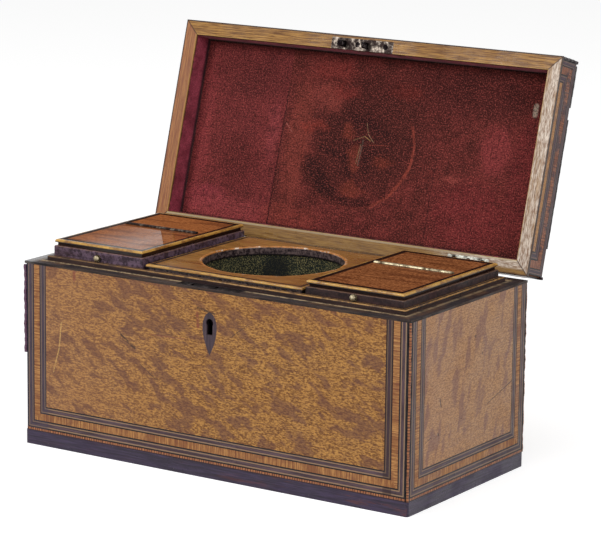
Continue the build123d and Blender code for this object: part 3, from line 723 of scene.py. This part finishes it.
def holed_board():
    """Closed rings round the hole, from its lower edge over the board's top to the outer lower edge. A
    point's distance from the middle goes by a share from the hole to the rectangle, whose distance is the
    less of its half sides over the cosine and the sine. The hole's upper edge has chips, from a sum of
    sines, and the rectangle's corners have an angle of their own."""
    corner = np.arctan2(platform_y, platform_x)
    corners = [corner, np.pi - corner, np.pi + corner, 2 * np.pi - corner]
    around = np.sort(np.append(np.linspace(0, 2 * np.pi, 361)[:-1], corners))
    chips = 0.0004 * np.sin(around * 7 + 1) + 0.0003 * np.sin(around * 19)
    chips = chips + 0.0009 * np.maximum(0, np.sin(around * 11 + 2) * np.sin(around * 3 + 0.6) - 0.35)
    hole = hole_radius + np.maximum(chips, 0)
    across, along = np.maximum(np.abs(np.cos(around)), 1e-6), np.maximum(np.abs(np.sin(around)), 1e-6)
    upper_edge = np.minimum(platform_x / across, platform_y / along)
    lower_edge = np.minimum((platform_x + rebate) / across, (platform_y + rebate) / along)
    share = np.array([0.0, 0.0, 0.008, 0.03, 0.1, 0.35, 0.7, 1.0, 1.0, 1.0, 1.0])[:, None]
    radius = hole * (1 - share) + upper_edge * share
    radius[:2] = hole_radius
    radius[-2:] = lower_edge
    height = platform_top - np.array([0, 0.0011, 0.0002, 0, 0, 0, 0, 0, 0.002, 0.002, 0])[:, None]
    height[[0, -1]] = platform_low
    rings = np.broadcast_arrays(radius * np.cos(around), radius * np.sin(around), height)
    points = np.stack(rings, axis=-1)
    index = np.arange(radius.size).reshape(radius.shape)
    return points.reshape(-1, 3), walls(np.concatenate((index, index[:1]))), points[..., :2].reshape(-1, 2)


platform_polish = surface("platform polish")
place = own_place(platform_polish)
height = split(place)[2]
inset, long_side = inset_from(place, platform_x, platform_y)
woven, worn = grained(place, dull=0.4)
mottle = between(noise(place, 460, roughness=0.7), 0.38, 0.62)
# The walls below the board's top: dark and mottled like grime, and darkest at their foot. The dark is partly
# grime and partly painted shade under the moulding and down the hole.
wall_grime_and_shade = layered((38, 28, 34), (mottle, (112, 94, 92)),
                (between(height, platform_low + 0.0006, platform_low + 0.0014, 0.9, 0.0), (10, 8, 10)))
from_axis = vector("LENGTH", vector("MULTIPLY", place, (1, 1, 0)))
bare_rim = between(from_axis, 0.0484, 0.0500, 1.0, 0.0) * between(
    height, platform_top - 0.0010, platform_top - 0.0006)
chipped = noise(place, 260, roughness=0.7)
colour = layered(
    (108, 64, 28),
    (between(woven["Fibre"], 0.3, 0.7), (184, 134, 68)),
    (between(woven["Growth"], 0.45, 0.7, 0.0, 0.6), (108, 58, 30)),
    (between(inset, 0.0018, 0.0022, 0.9, 0.0), (28, 18, 18)),
    (between(height, platform_top - 0.0009, platform_top - 0.0003, 1.0, 0.0), wall_grime_and_shade),
    (bare_rim * between(chipped, 0.36, 0.50, 0.2, 0.8), (206, 136, 72)),
    (bare_rim * between(chipped, 0.56, 0.62), (224, 204, 184)))
finish(platform_polish, colour, worn["Roughness"], worn["Height"], depth=0.00012, gloss=0.15)
platform = assembled("platform_board", [holed_board()], platform_polish, "case")
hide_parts("bowl_platform")


# Mouldings of boxwood round the platform and the canisters' tops: rounded over outside, with a
# black line along their inner edge.
moulding_width = 0.0025


def moulding(width, height, round_over):
    """The profile of a moulding: a flat top that turns down outside in a quarter round. The map goes from
    nothing at its outer foot to one at its inner upper edge."""
    turn = np.linspace(0, np.pi / 2, 6)
    outer = np.stack((round_over * (1 - np.cos(turn)), -round_over * (1 - np.sin(turn)),
                      np.linspace(0.3, 0.6, len(turn))), axis=1)
    return [(width, -height, 0.0), (0.0, -height, 0.0), *outer.tolist(), (width, 0.0, 1.0)]


def level_place(middle, top):
    """Places flat strips about a middle, with their top at a height."""
    return lambda s, t, h: np.stack((middle + s, t, top + h), axis=-1)


def rectangle(half_x, half_y):
    """The corners of a rectangle about the middle."""
    return [(-half_x, -half_y), (half_x, -half_y), (half_x, half_y), (-half_x, half_y)]


boxwood = banding("boxwood moulding", moulding_width, (214, 168, 84), (150, 100, 44),
                  [(-0.1, 0.2, (40, 24, 20)), (0.76, 1.1, (26, 16, 16))], gloss=0.2, patchy=0.7,
                  patch=(122, 80, 46))
edge_profile = moulding(moulding_width, height=0.002, round_over=0.0012)
outline = rectangle(platform_x + moulding_width, platform_y + moulding_width)
platform_moulding = assembled(
    "platform_moulding", [mitred(outline, edge_profile, level_place(0, platform_top), closed=True)],
    boxwood, "case")
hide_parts("platform_edging")


# Well: a turned drum lined with dark green paper, flecked with yellow, that takes the bowl.
well_lining = surface("well lining")
place = own_place(well_lining)
fleck = noise(place, 1300, detail=3, roughness=0.7)
# Painted shadow on the far wall of the drum, low down, where the light falls off.
shaded = use(mark, Vector=place, Start=(-0.0243, 0.0393, 0.112), End=(-0.0243, 0.0393, 0.118), Width=0.014)
colour = layered(
    (12, 18, 15),
    (between(noise(place, 60, detail=3), 0.3, 0.7), (26, 34, 27)),
    (between(fleck, 0.52, 0.60), (138, 128, 84)),
    (shaded["Mark"] * 0.85, (6, 9, 12)))
finish(well_lining, colour, 0.7 + fleck * 0.25, fleck, depth=0.0002)
dress(well_lining, "well_drum")


# Canisters: boxes of dark wood lined with foil, whose sides show between the lip and the top's edge.
canister_x, top_half_x, top_half_y = 0.1014, 0.0364, 0.0593
left_top, right_top, box_below_top = 0.1412, 0.1392, 0.0043


def box_wood(name, level, deep, light):
    """Dark stained wood, mottled with wear, whose upper edge is rubbed pale at a level."""
    made = surface(name)
    place = own_place(made)
    woven, worn = grained(place, dull=0.9)
    mottle = noise(place, 330, roughness=0.75)
    ragged = split(place)[2] + (noise(place, 260) - 0.5) * 0.0012
    colour = layered(
        deep,
        (between(mottle, 0.38, 0.62), light),
        (between(woven["Growth"], 0.42, 0.66, 0.0, 0.55), (62, 36, 38)),
        (between(woven["Fibre"], 0.50, 0.66, 0.0, 0.6), (30, 20, 26)),
        (between(ragged, level - 0.0006, level - 0.0002, 0.0, 0.4), (150, 112, 88)),
        (worn["Speck"] * 0.6, (150, 118, 112)))
    return finish(made, colour, worn["Roughness"] + 0.1, worn["Height"] + mottle, depth=0.00015)


dress(box_wood("canister wood", left_top - box_below_top, (48, 36, 46), (116, 94, 112)), "left_canister_box")
dress(box_wood("lower canister wood", right_top - box_below_top, (22, 12, 13), (62, 42, 40)),
      "right_canister_box")

dull_foil = surface("dull foil")
place = own_place(dull_foil)
crumple = noise(place, 140, detail=5, roughness=0.7)
colour = layered((150, 148, 144), (between(noise(place, 30), 0.35, 0.7), (104, 96, 88)))
finish(dull_foil, colour, between(crumple, 0.3, 0.7, 0.35, 0.65), crumple, depth=0.0006, metal=1.0)
dress(dull_foil, "left_foil_lining", "right_foil_lining")


# Tops of the canisters: polished red-brown boards, the front part a flap on a hinge, with boxwood edges.
board_half_x, board_half_y = top_half_x - moulding_width, top_half_y - moulding_width
flap_end, fixed_start = 0.01235, 0.01265


def top_polish(name, middle, light, deep, blotch, gloss, gloss_right):
    """Polished board with an ebony line inside its moulding, and a gloss that is worn more at its left."""
    made = surface(name)
    colour, rough, height = figured(own_place(made), light, deep, blotch, 4, (16, 150, 60), 0.5, light)
    place = own_place(made, shift=(-middle, 0, 0))
    x, y, z = split(place)
    inset, long_side = inset_from(place, board_half_x, board_half_y)
    line = calc("MAXIMUM", between(inset, 0.0018, 0.0023, 0.94, 0.0),
                between(board_half_y - abs(y), 0.0030, 0.0036, 0.94, 0.0))
    line = calc("MAXIMUM", line, between(x + board_half_x, 0.0032, 0.0038, 0.9, 0.0))
    cloud = between(noise(place, 80, detail=3), 0.3, 0.7, 0.7, 1.1)
    weight = between(x, -0.03, 0.018, gloss, gloss_right) * cloud * between(y, 0.0122, 0.0128, 1.0, 0.1)
    return finish(made, layered(colour, (line, (24, 16, 18))), rough, height, depth=0.00012, gloss=weight,
                  coat_rough=0.03, shine=0.0)


dress(top_polish("left canister top", -canister_x, (180, 112, 64), (118, 64, 36), (80, 38, 26), 0.10, 0.54),
      "left_flap", "left_fixed_top")
dress(top_polish("right canister top", canister_x, (170, 108, 66), (94, 48, 26), (72, 32, 20), 0.05, 0.12),
      "right_flap", "right_fixed_top")

for side, middle, top in (("left", -canister_x, left_top), ("right", canister_x, right_top)):
    for kind, joint, far in (("flap", flap_end, -top_half_y), ("fixed_top", fixed_start, top_half_y)):
        run = [(-top_half_x, joint), (-top_half_x, far), (top_half_x, far), (top_half_x, joint)]
        if far > joint:
            run.reverse()
        body = f"{side}_flap" if kind == "flap" else f"{side}_canister"
        edge = assembled(f"{side}_{kind}_moulding", [mitred(run, edge_profile, level_place(middle, top))],
                         boxwood, body)
        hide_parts(f"{side}_{kind}_edging")


# Brass and iron: hinges, pins, knobs, the lock and its plates, dulled brown with bright rubbed places.
def old_metal(name, bright, dull, share):
    """Metal with a patchy brown skin and fine scratches."""
    made = surface(name)
    place = own_place(made)
    patch = noise(place, 190, detail=6, roughness=0.7)
    fine = noise(place, (300, 2600, 2600), detail=3)
    brown = between(patch, share - 0.12, share + 0.12)
    return finish(made, layered(bright, (brown, dull)), brown * 0.3 + (0.32 + fine * 0.1), patch + fine,
                  depth=0.00006, metal=1.0)


for name, bright, dull, share, *pieces in (
    ("old brass", (176, 150, 102), (70, 50, 36), 0.46, "case_hinge_leaves", "hinge_pins"),
    ("rubbed brass", (184, 172, 142), (84, 68, 50), 0.52,
     "right_flap_leaf", "right_flap_hinge", "left_knob", "right_knob"),
    ("browned brass", (104, 94, 84), (44, 34, 32), 0.42, "left_flap_leaf", "left_flap_hinge"),
    ("stained brass", (162, 150, 138), (52, 42, 40), 0.46, "link_plate"),
    ("worn silvery brass", (172, 172, 162), (78, 72, 66), 0.50, "lid_hinge_leaves"),
    ("dark iron", (84, 76, 76), (22, 16, 18), 0.40,
     "lock_case", "lock_selvedge", "lock_links", "lock_bolt", "case_screws", "lid_screws"),
):
    dress(old_metal(name, bright, dull, share), *pieces)


# Escutcheon: a teardrop of dark wood or horn let into the front, round the keyhole.
horn = surface("escutcheon horn")
place = own_place(horn, facing_front)
woven = use(grain, Vector=placed(place, turn=(0, 0, radians(90))))
worn = use(age, Vector=place, Dull=0.6)
colour = layered((44, 34, 42), (between(woven["Fibre"], 0.3, 0.7), (88, 70, 78)))
finish(horn, colour, worn["Roughness"], worn["Height"], depth=0.0001, gloss=0.05)
dress(horn, "escutcheon")


# Rim of the lid: a facing of golden satinwood, mitred at the corners, with a dark line along its outer
# edge and light rubbed places near the corners. The lid is written shut, and swung open about its pins.
hinge_y, hinge_z, opened = 0.0745, 0.1285, radians(106)
lid_low, lid_top = 0.1273, 0.1493
shut_turn = Euler((opened, 0, 0))
pins = Vector((0, hinge_y, hinge_z))
shut_shift = pins - shut_turn.to_matrix() @ pins


def swung(points):
    """Points of the shut lid, turned open about the line of the hinge pins."""
    y, z = points[..., 1] - hinge_y, points[..., 2] - hinge_z
    return np.stack((points[..., 0], hinge_y + y * cos(opened) + z * sin(opened),
                     hinge_z - y * sin(opened) + z * cos(opened)), axis=-1)


def shut_place(material):
    """The place on the lid as if it were shut."""
    return own_place(material, shut_turn, shut_shift)


lid_facing = surface("lid facing")
place = shut_place(lid_facing)
x, y, z = split(place)
inset, long_side = inset_from(place, half_width, half_depth)
run = along_rail(place, long_side)
woven, worn = grained(run, dull=0.7)
strand = noise(run, (60, 1200, 400), roughness=0.65)
short_side = 1.0 - long_side
to_left = short_side * calc("LESS_THAN", x, 0.0)
to_right = short_side - to_left
to_rear = long_side * calc("GREATER_THAN", y, 0.0)
frosted = between(noise(run, (180, 900, 700), roughness=0.7), 0.36, 0.64)
cloud = between(noise(run, (24, 120, 24), detail=3), 0.36, 0.60, 0.45, 0.95)
rear_corner = to_rear * between(x, 0.070, 0.115) * between(inset, 0.0030, 0.0055, 0.0, 0.8)
off_mitre = abs((half_width - abs(x)) - (half_depth - abs(y)))
colour = layered(
    (104, 66, 32),
    (between(strand, 0.36, 0.64), (186, 138, 72)),
    (to_left * 0.45, (176, 108, 86)),
    (to_rear * between(strand, 0.3, 0.6, 0.2, 0.6), (136, 104, 54)),
    (calc("MAXIMUM", to_right * cloud, rear_corner), layered((148, 118, 98), (frosted, (246, 232, 216)))),
    (to_rear * between(inset, 0.0082, 0.0090, 0.0, 0.55), (206, 190, 160)),
    (between(woven["Growth"], 0.4, 0.7, 0.0, 0.3), (112, 74, 46)),
    (woven["Pore"] * 0.5, (74, 44, 30)),
    (between(inset, 0.0006, 0.0011, 0.9, 0.0), (40, 26, 28)),
    (between(off_mitre, 0.0003, 0.0008, 0.75, 0.0), (62, 40, 32)),
    (between(inset, 0.0094, 0.0098, 0.0, 0.6), (200, 160, 88)),
    (worn["Speck"] * 0.6, (70, 46, 40)))
finish(lid_facing, colour, worn["Roughness"], worn["Height"] + woven["Fibre"], depth=0.00012, gloss=0.05)
dress(lid_facing, "lid_rim_facing")


# Veneers of the lid: the same bands as on the case, darker as painted shade, on its four sides and round its
# top, with satinwood within them, and a black string along the edges that is lost in places.
def on_shut_lid(place):
    """A way of placing strips on the shut lid, turned open."""
    return lambda s, t, h: swung(place(s, t, h))


def lid_strips(inset, width):
    """Strips on all four sides of the lid and round its top."""
    low = lid_low + 0.001
    sides = [mitred([(half, low), (half, lid_top), (-half, lid_top), (-half, low)], slab(inset, width),
                    on_shut_lid(place)) for place, half in case_sides]
    round_top = mitred(rectangle(half_width, half_depth), slab(inset, width),
                       on_shut_lid(level_place(0, lid_top)), closed=True)
    return [*sides, round_top]


# The lid's bands are darker copies of the case's bands: painted shade, since the lid's sides lie in shade.
shaded_lid_rosewood = banding("lid rosewood band", 0.0045, (82, 58, 70), (44, 28, 40), edges((114, 88, 78)))
shaded_lid_crossbanding = banding("lid orange crossbanding", 0.0052, (176, 112, 76), (98, 54, 44), cross=True,
                     patchy=0.9, patch=(64, 34, 40))
for name, inset, width, wood, node, slot in (
    ("lid_outer_inlay", 0.002, 0.0045, shaded_lid_rosewood, "lid_outer_bands", "rosewood"),
    ("lid_crossband_inlay", 0.0065, 0.0052, shaded_lid_crossbanding, "lid_crossbanding", "crossbanding"),
    ("lid_inner_inlay", 0.0117, 0.0057, shaded_lid_rosewood, "lid_inner_bands", "rosewood"),
):
    bands = assembled(name, lid_strips(inset, width), wood, "lid")
    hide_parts(node)

string_low, string_top = lid_low + 0.001, lid_top - string_width
lid_sticks = [upright(x, y, string_low, string_top)
              for x, y in ((-half_width, -half_depth), (near_x, -half_depth), (-half_width, near_y))]
for y in (-half_depth, near_y):
    lid_sticks.append(stick((-half_width, y, string_top), (half_width, y + string_width, lid_top),
                            turned=True, rows=90))
# The strings from front to rear are made along X and turned. The right one is lost in two places.
for x, low, high in ((-half_width, -near_y, near_y), (near_x, -0.0705, -0.0424), (near_x, -0.0343, 0.053)):
    points, shell, chart = stick((low, -x - string_width, string_top), (high, -x, lid_top),
                                 turned=True, rows=60)
    lid_sticks.append((np.stack((-points[:, 1], points[:, 0], points[:, 2]), axis=-1), shell, chart))
lid_sticks = [(swung(points), shell, chart) for points, shell, chart in lid_sticks]
black_string = banding("black string", 0.008, (58, 40, 46), (26, 18, 24))
lid_string = assembled("lid_edge_string", lid_sticks, black_string, "lid")
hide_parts("lid_stringing")

lid_satinwood = surface("lid satinwood")
place = shut_place(lid_satinwood)
woven, worn = grained(place, dull=0.5)
figure = noise(placed(place, turn=(0, 0, radians(-24)), scale=(38, 120, 120)), detail=3, roughness=0.5)
colour = layered(
    (160, 106, 60),
    (between(noise(place, (170, 700, 700), roughness=0.65), 0.3, 0.7), (200, 146, 84)),
    (between(figure, 0.47, 0.68, 0.0, 0.62), (122, 76, 58)),
    (woven["Pore"] * 0.45, (70, 38, 22)),
    (worn["Scratch"] * 0.35, (206, 150, 84)))
finish(lid_satinwood, colour, worn["Roughness"], worn["Height"] + woven["Fibre"], depth=0.00012, gloss=0.08)
dress(lid_satinwood, "lid_panels")


# Velvet inside the lid: crimson cloth drawn tight over a card and glued, now rubbed brown in the middle,
# with a crease, the round print of a bowl and a frayed tear at its centre.
lid_under, pad_x, pad_y = 0.1441, 0.1416, 0.0631
bowl_x, bowl_y, print_radius, crease_x = -0.0034, 0.0, 0.0443, -0.0672


def velvet_surface(columns=283, rows=126, thickness=0.0012, drop=0.0006):
    """A thin slab whose lower face is a grid. Its depth falls off in a quarter round at the edges. A groove
    follows the crease, another the ring of the bowl's print, and round the tear small folds run outwards,
    as a cosine of the angle that fades with the distance."""
    x = np.linspace(-pad_x, pad_x, columns)[None, :]
    y = np.linspace(-pad_y, pad_y, rows)[:, None]
    edge = np.minimum(np.minimum(pad_x - np.abs(x), pad_y - np.abs(y)), drop) / drop
    depth = thickness - drop * (1 - np.sqrt(np.clip(1 - (1 - edge) ** 2, 0, 1)))
    depth = depth - 0.0005 * np.exp(-((x - crease_x - 0.0006 * np.sin(y * 60)) / 0.0007) ** 2) * (y > -0.036)
    away_from = np.hypot(x - bowl_x, y - bowl_y)
    angle = np.arctan2(y - bowl_y, x - bowl_x)
    depth = depth - 0.00035 * np.exp(-((away_from - print_radius) / 0.0012) ** 2)
    depth = depth - 0.0003 * np.cos(angle * 9 + 2 * np.sin(angle * 2)) ** 2 * np.exp(-away_from / 0.011)
    depth = depth - 0.0007 * np.exp(-(away_from / 0.0035) ** 2)
    depth = depth - 0.00006 * (1 + np.sin(x * 130 + 3 * np.sin(y * 70)) * np.sin(y * 170 + x * 40))
    depth = np.maximum(depth, 0.00015)
    grid = np.stack(np.broadcast_arrays(x, y, lid_under - depth), axis=-1)
    back = np.stack(np.broadcast_arrays(x, y, np.full_like(depth, lid_under - 0.00005)), axis=-1)
    count = rows * columns
    index = np.arange(count).reshape(rows, columns)
    face = np.stack((index[:-1, :-1], index[1:, :-1], index[1:, 1:], index[:-1, 1:]), axis=-1).reshape(-1, 4)
    rim = np.concatenate((index[0, :-1], index[:-1, -1], index[-1, :0:-1], index[:0:-1, 0]))
    wall = np.stack((rim, np.roll(rim, -1), np.roll(rim, -1) + count, rim + count), axis=-1)
    quads = np.concatenate((face, face[:, ::-1] + count, wall))
    points = np.concatenate((grid.reshape(-1, 3), back.reshape(-1, 3)))
    return swung(points), quads.tolist(), points[:, :2]


# A soft ragged spot about a middle: one inside its reach, falling to nothing outside it.
spot, place, middle, reach = effect("soft spot", Vector=None, Middle=None, Reach=None)
ragged = noise(place, 70, detail=5, roughness=0.7).out("Color")
shaken = vector("MULTIPLY_ADD", ragged, (0.022, 0.022, 0), vector("SUBTRACT", place, middle))
outwards = vector("DIVIDE", vector("SUBTRACT", shaken, (0.011, 0.011, 0)), reach)
give_out(spot, Spot=between(vector("LENGTH", outwards), 0.45, 1.15, 1.0, 0.0))

worn_velvet = surface("worn velvet")
place = vector("MULTIPLY", shut_place(worn_velvet), (1, 1, 0))
x, y, z = split(place)
ragged_dark = noise(place, 150, detail=6, roughness=0.8)
colour = layered(
    (86, 36, 32),
    (between(noise(place, 55, detail=5, roughness=0.7), 0.35, 0.65), (128, 54, 50)),
    (between(x, crease_x - 0.001, crease_x, 0.45, 0.0), (146, 58, 64)))

# Rubbed, soiled and bright spots, each with its middle, reach, share and colour
for middle, reach, share, tint in (
    ((0.0040, -0.0140), (0.062, 0.046), 0.80, (62, 28, 24)),
    ((0.0816, -0.0450), (0.070, 0.022), 0.65, (64, 26, 26)),
    ((-0.0034, 0.0035), (0.040, 0.036), 0.55, (50, 22, 20)),
    ((-0.0530, 0.0050), (0.012, 0.055), 0.60, (156, 72, 60)),
    ((-0.0750, -0.0040), (0.007, 0.024), 0.70, (160, 70, 74)),
    ((-0.1270, 0.0500), (0.026, 0.012), 0.75, (168, 66, 78)),
    ((-0.1350, 0.0000), (0.010, 0.060), 0.60, (166, 68, 72)),
    ((-0.1000, 0.0200), (0.020, 0.022), 0.55, (82, 28, 28)),
    ((-0.0950, -0.0400), (0.034, 0.022), 0.35, (66, 28, 28)),
    ((-0.1080, 0.0570), (0.044, 0.012), 0.60, (176, 78, 80)),
    ((-0.0500, 0.0570), (0.030, 0.011), 0.50, (164, 72, 60)),
    ((-0.0350, -0.0320), (0.017, 0.013), 0.55, (172, 80, 70)),
    ((0.1056, -0.0065), (0.015, 0.021), 0.75, (160, 66, 68)),
    ((0.0930, 0.0380), (0.036, 0.026), 0.60, (142, 50, 54)),
    ((0.1280, 0.0100), (0.012, 0.050), 0.45, (140, 50, 56)),
    ((-0.0304, -0.0505), (0.022, 0.009), 0.60, (150, 58, 52)),
    ((-0.0210, -0.0370), (0.013, 0.006), 0.60, (146, 54, 48)),
    ((0.0296, -0.0405), (0.016, 0.007), 0.45, (136, 50, 42)),
    ((-0.0404, -0.0095), (0.016, 0.004), 0.60, (158, 62, 50)),
    ((0.0746, 0.0151), (0.011, 0.002), 0.55, (176, 84, 76)),
    ((-0.0344, 0.0235), (0.013, 0.016), 0.75, (30, 14, 14)),
    ((-0.0240, 0.0350), (0.012, 0.006), 0.80, (34, 16, 14)),
    ((-0.0024, -0.0170), (0.014, 0.004), 0.85, (34, 14, 14)),
    ((0.0110, 0.0090), (0.010, 0.005), 0.70, (40, 18, 16)),
    ((-0.0138, -0.0072), (0.008, 0.006), 0.55, (148, 66, 48)),
    ((-0.0052, 0.0100), (0.006, 0.011), 0.60, (150, 68, 50)),
    ((0.0179, 0.0085), (0.010, 0.005), 0.55, (146, 64, 46)),
    ((-0.0053, 0.0303), (0.009, 0.006), 0.50, (148, 66, 46)),
    ((0.0000, 0.0330), (0.014, 0.003), 0.35, (150, 66, 50)),
):
    there = use(spot, Vector=place, Middle=(*middle, 0), Reach=(*reach, 1))["Spot"]
    colour = layered(colour, (there * share, tint))

# Painted shade in the folds round the tear and inside the bowl's print
for start, end, width in (
    ((-0.0327, 0.0049), (-0.0219, 0.0061), 0.0034), ((-0.0219, 0.0061), (-0.0120, 0.0090), 0.0036),
    ((-0.0120, 0.0090), (-0.0080, 0.0193), 0.0036), ((-0.0067, -0.0147), (0.0005, -0.0149), 0.0038),
    ((0.0005, -0.0149), (0.0115, -0.0120), 0.0042), ((0.0115, -0.0120), (0.0241, -0.0077), 0.0034),
    ((0.0038, 0.0023), (0.0053, 0.0167), 0.0040), ((0.0094, 0.0039), (0.0200, 0.0050), 0.0028),
    ((-0.0413, 0.0161), (-0.0295, 0.0285), 0.0085), ((-0.0295, 0.0285), (-0.0187, 0.0363), 0.0085),
    ((-0.0100, 0.0390), (0.0100, 0.0400), 0.0045),
):
    fold_shade = mark_on(place, start, end, width) * between(ragged_dark, 0.36, 0.56, 0.2, 0.85)
    colour = layered(colour, (fold_shade, (28, 12, 14)))

from_bowl = vector("LENGTH", vector("SUBTRACT", place, (bowl_x, bowl_y, 0)))
off_ring = abs(from_bowl + (noise(place, 60, detail=3) - 0.5) * 0.006 - print_radius)
ring = between(off_ring, 0.0004, 0.0018, 1.0, 0.0) * between(x, 0.004, 0.026, 0.15, 1.0)
ring = ring * between(ragged_dark, 0.36, 0.56, 0.4, 1.0) * between(y, -0.022, -0.012)
colour = layered(colour, (ring, (172, 78, 62)))

# Painted shade along the crease; a seam, loose threads of the tear and a chip of card at the right edge
for start, end, width, tint in (
    ((crease_x, -0.0345), (crease_x - 0.0006, 0.0620), 0.0008, (52, 20, 24)),
    ((0.0598, 0.0055), (0.0602, 0.0610), 0.0005, (60, 22, 24)),
    ((0.0009, -0.0161), (0.0034, -0.0085), 0.0004, (160, 126, 96)),
    ((0.0034, -0.0085), (0.0086, -0.0033), 0.0004, (180, 154, 118)),
    ((-0.0078, -0.0033), (0.0007, -0.0070), 0.0004, (140, 120, 84)),
    ((0.0007, -0.0070), (0.0058, -0.0042), 0.0004, (176, 148, 92)),
    ((0.0057, -0.0013), (0.0212, -0.0024), 0.0004, (158, 74, 60)),
    ((-0.0001, -0.0041), (-0.0013, 0.0135), 0.0007, (104, 96, 86)),
    ((0.0012, -0.0030), (0.0004, 0.0110), 0.0005, (28, 20, 22)),
    ((-0.0018, -0.0010), (-0.0030, 0.0125), 0.0004, (150, 132, 100)),
    ((-0.0650, -0.0100), (-0.0590, -0.0040), 0.0005, (190, 110, 100)),
    ((0.1300, -0.0405), (0.1300, -0.0345), 0.0026, (196, 184, 164)),
):
    colour = layered(colour, (mark_on(place, start, end, width) * 0.85, tint))

pile = (noise(place, (2100, 420, 1), detail=2) + noise(place, (420, 2100, 1), detail=2)) * 0.5
speckle = noise(place, 1050, detail=1.5)
hatch = calc("MINIMUM", noise(place, (900, 60, 1), detail=2), noise(place, (60, 900, 1), detail=2))
near_edge = calc("MINIMUM", pad_x - abs(x), pad_y - abs(y))
# Painted shade along the pad's edges, where it meets the rails, then the cloth's speckle, hatching and pile.
colour = layered(
    colour,
    (between(near_edge, 0.0004, 0.0016, 0.85, 0.0), (34, 14, 18)),
    (between(speckle, 0.36, 0.48, 0.7, 0.0), (36, 14, 16)),
    (between(speckle, 0.53, 0.64, 0.0, 0.6), (186, 92, 82)),
    (between(ragged_dark, 0.50, 0.66, 0.0, 0.5), (52, 22, 20)),
    (between(ragged_dark, 0.30, 0.42, 0.4, 0.0), (160, 74, 66)),
    (between(hatch, 0.30, 0.46, 0.5, 0.0), (40, 18, 18)),
    (between(pile, 0.42, 0.58, 0.45, 0.0), (44, 18, 18)),
    (between(pile, 0.56, 0.66, 0.0, 0.35), (190, 100, 92)))
finish(worn_velvet, colour, between(pile, 0.3, 0.7, 0.8, 1.0), pile, depth=0.0003, sheen=0.12, shine=0.05)
pad_piece = assembled("velvet_cloth", [velvet_surface()], worn_velvet, "lid", smooth=True)
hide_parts("velvet_pad")


# Velvet round the lid's inner sides: four strips of the same cloth, glued to the rails with their lower edge
# turned in, brighter than the pad, frayed at the foot, and painted with shade where they meet the pad.
strip_low, strip_high, strip_x, strip_y = 0.1283, 0.1440, 0.1425, 0.064
side_velvet = surface("side velvet")
place = shut_place(side_velvet)
height = split(place)[2]
pile = noise(place, 1300, detail=3, roughness=0.7)
colour = layered(
    (140, 50, 68),
    (between(noise(place, 90, roughness=0.7), 0.35, 0.65), (186, 80, 100)),
    (between(pile, 0.4, 0.6, 0.5, 0.0), (60, 18, 28)),
    (between(height + noise(place, 300) * 0.002, 0.1292, 0.1301, 0.85, 0.0), (64, 44, 30)),
    # Painted shade at the top of the strips, where they meet the pad
    (between(height, 0.1405, 0.1425, 0.0, 0.8), (30, 12, 18)))
finish(side_velvet, colour, between(pile, 0.3, 0.7, 0.8, 1.0), pile, depth=0.0003, sheen=0.12, shine=0.05)
strip_ring = [(0, strip_low), (0.0004, strip_low), (0.0007, 0.1287), (0.0007, strip_high), (0, strip_high)]
strip_tall = strip_high - strip_low
strip_profile = [(across, tall, (tall - strip_low) / strip_tall) for across, tall in strip_ring]
strips = mitred(rectangle(strip_x, strip_y), strip_profile, on_shut_lid(level_place(0, 0)), closed=True)
strip_piece = assembled("velvet_strips", [strips], side_velvet, "lid")
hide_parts("velvet_sides")
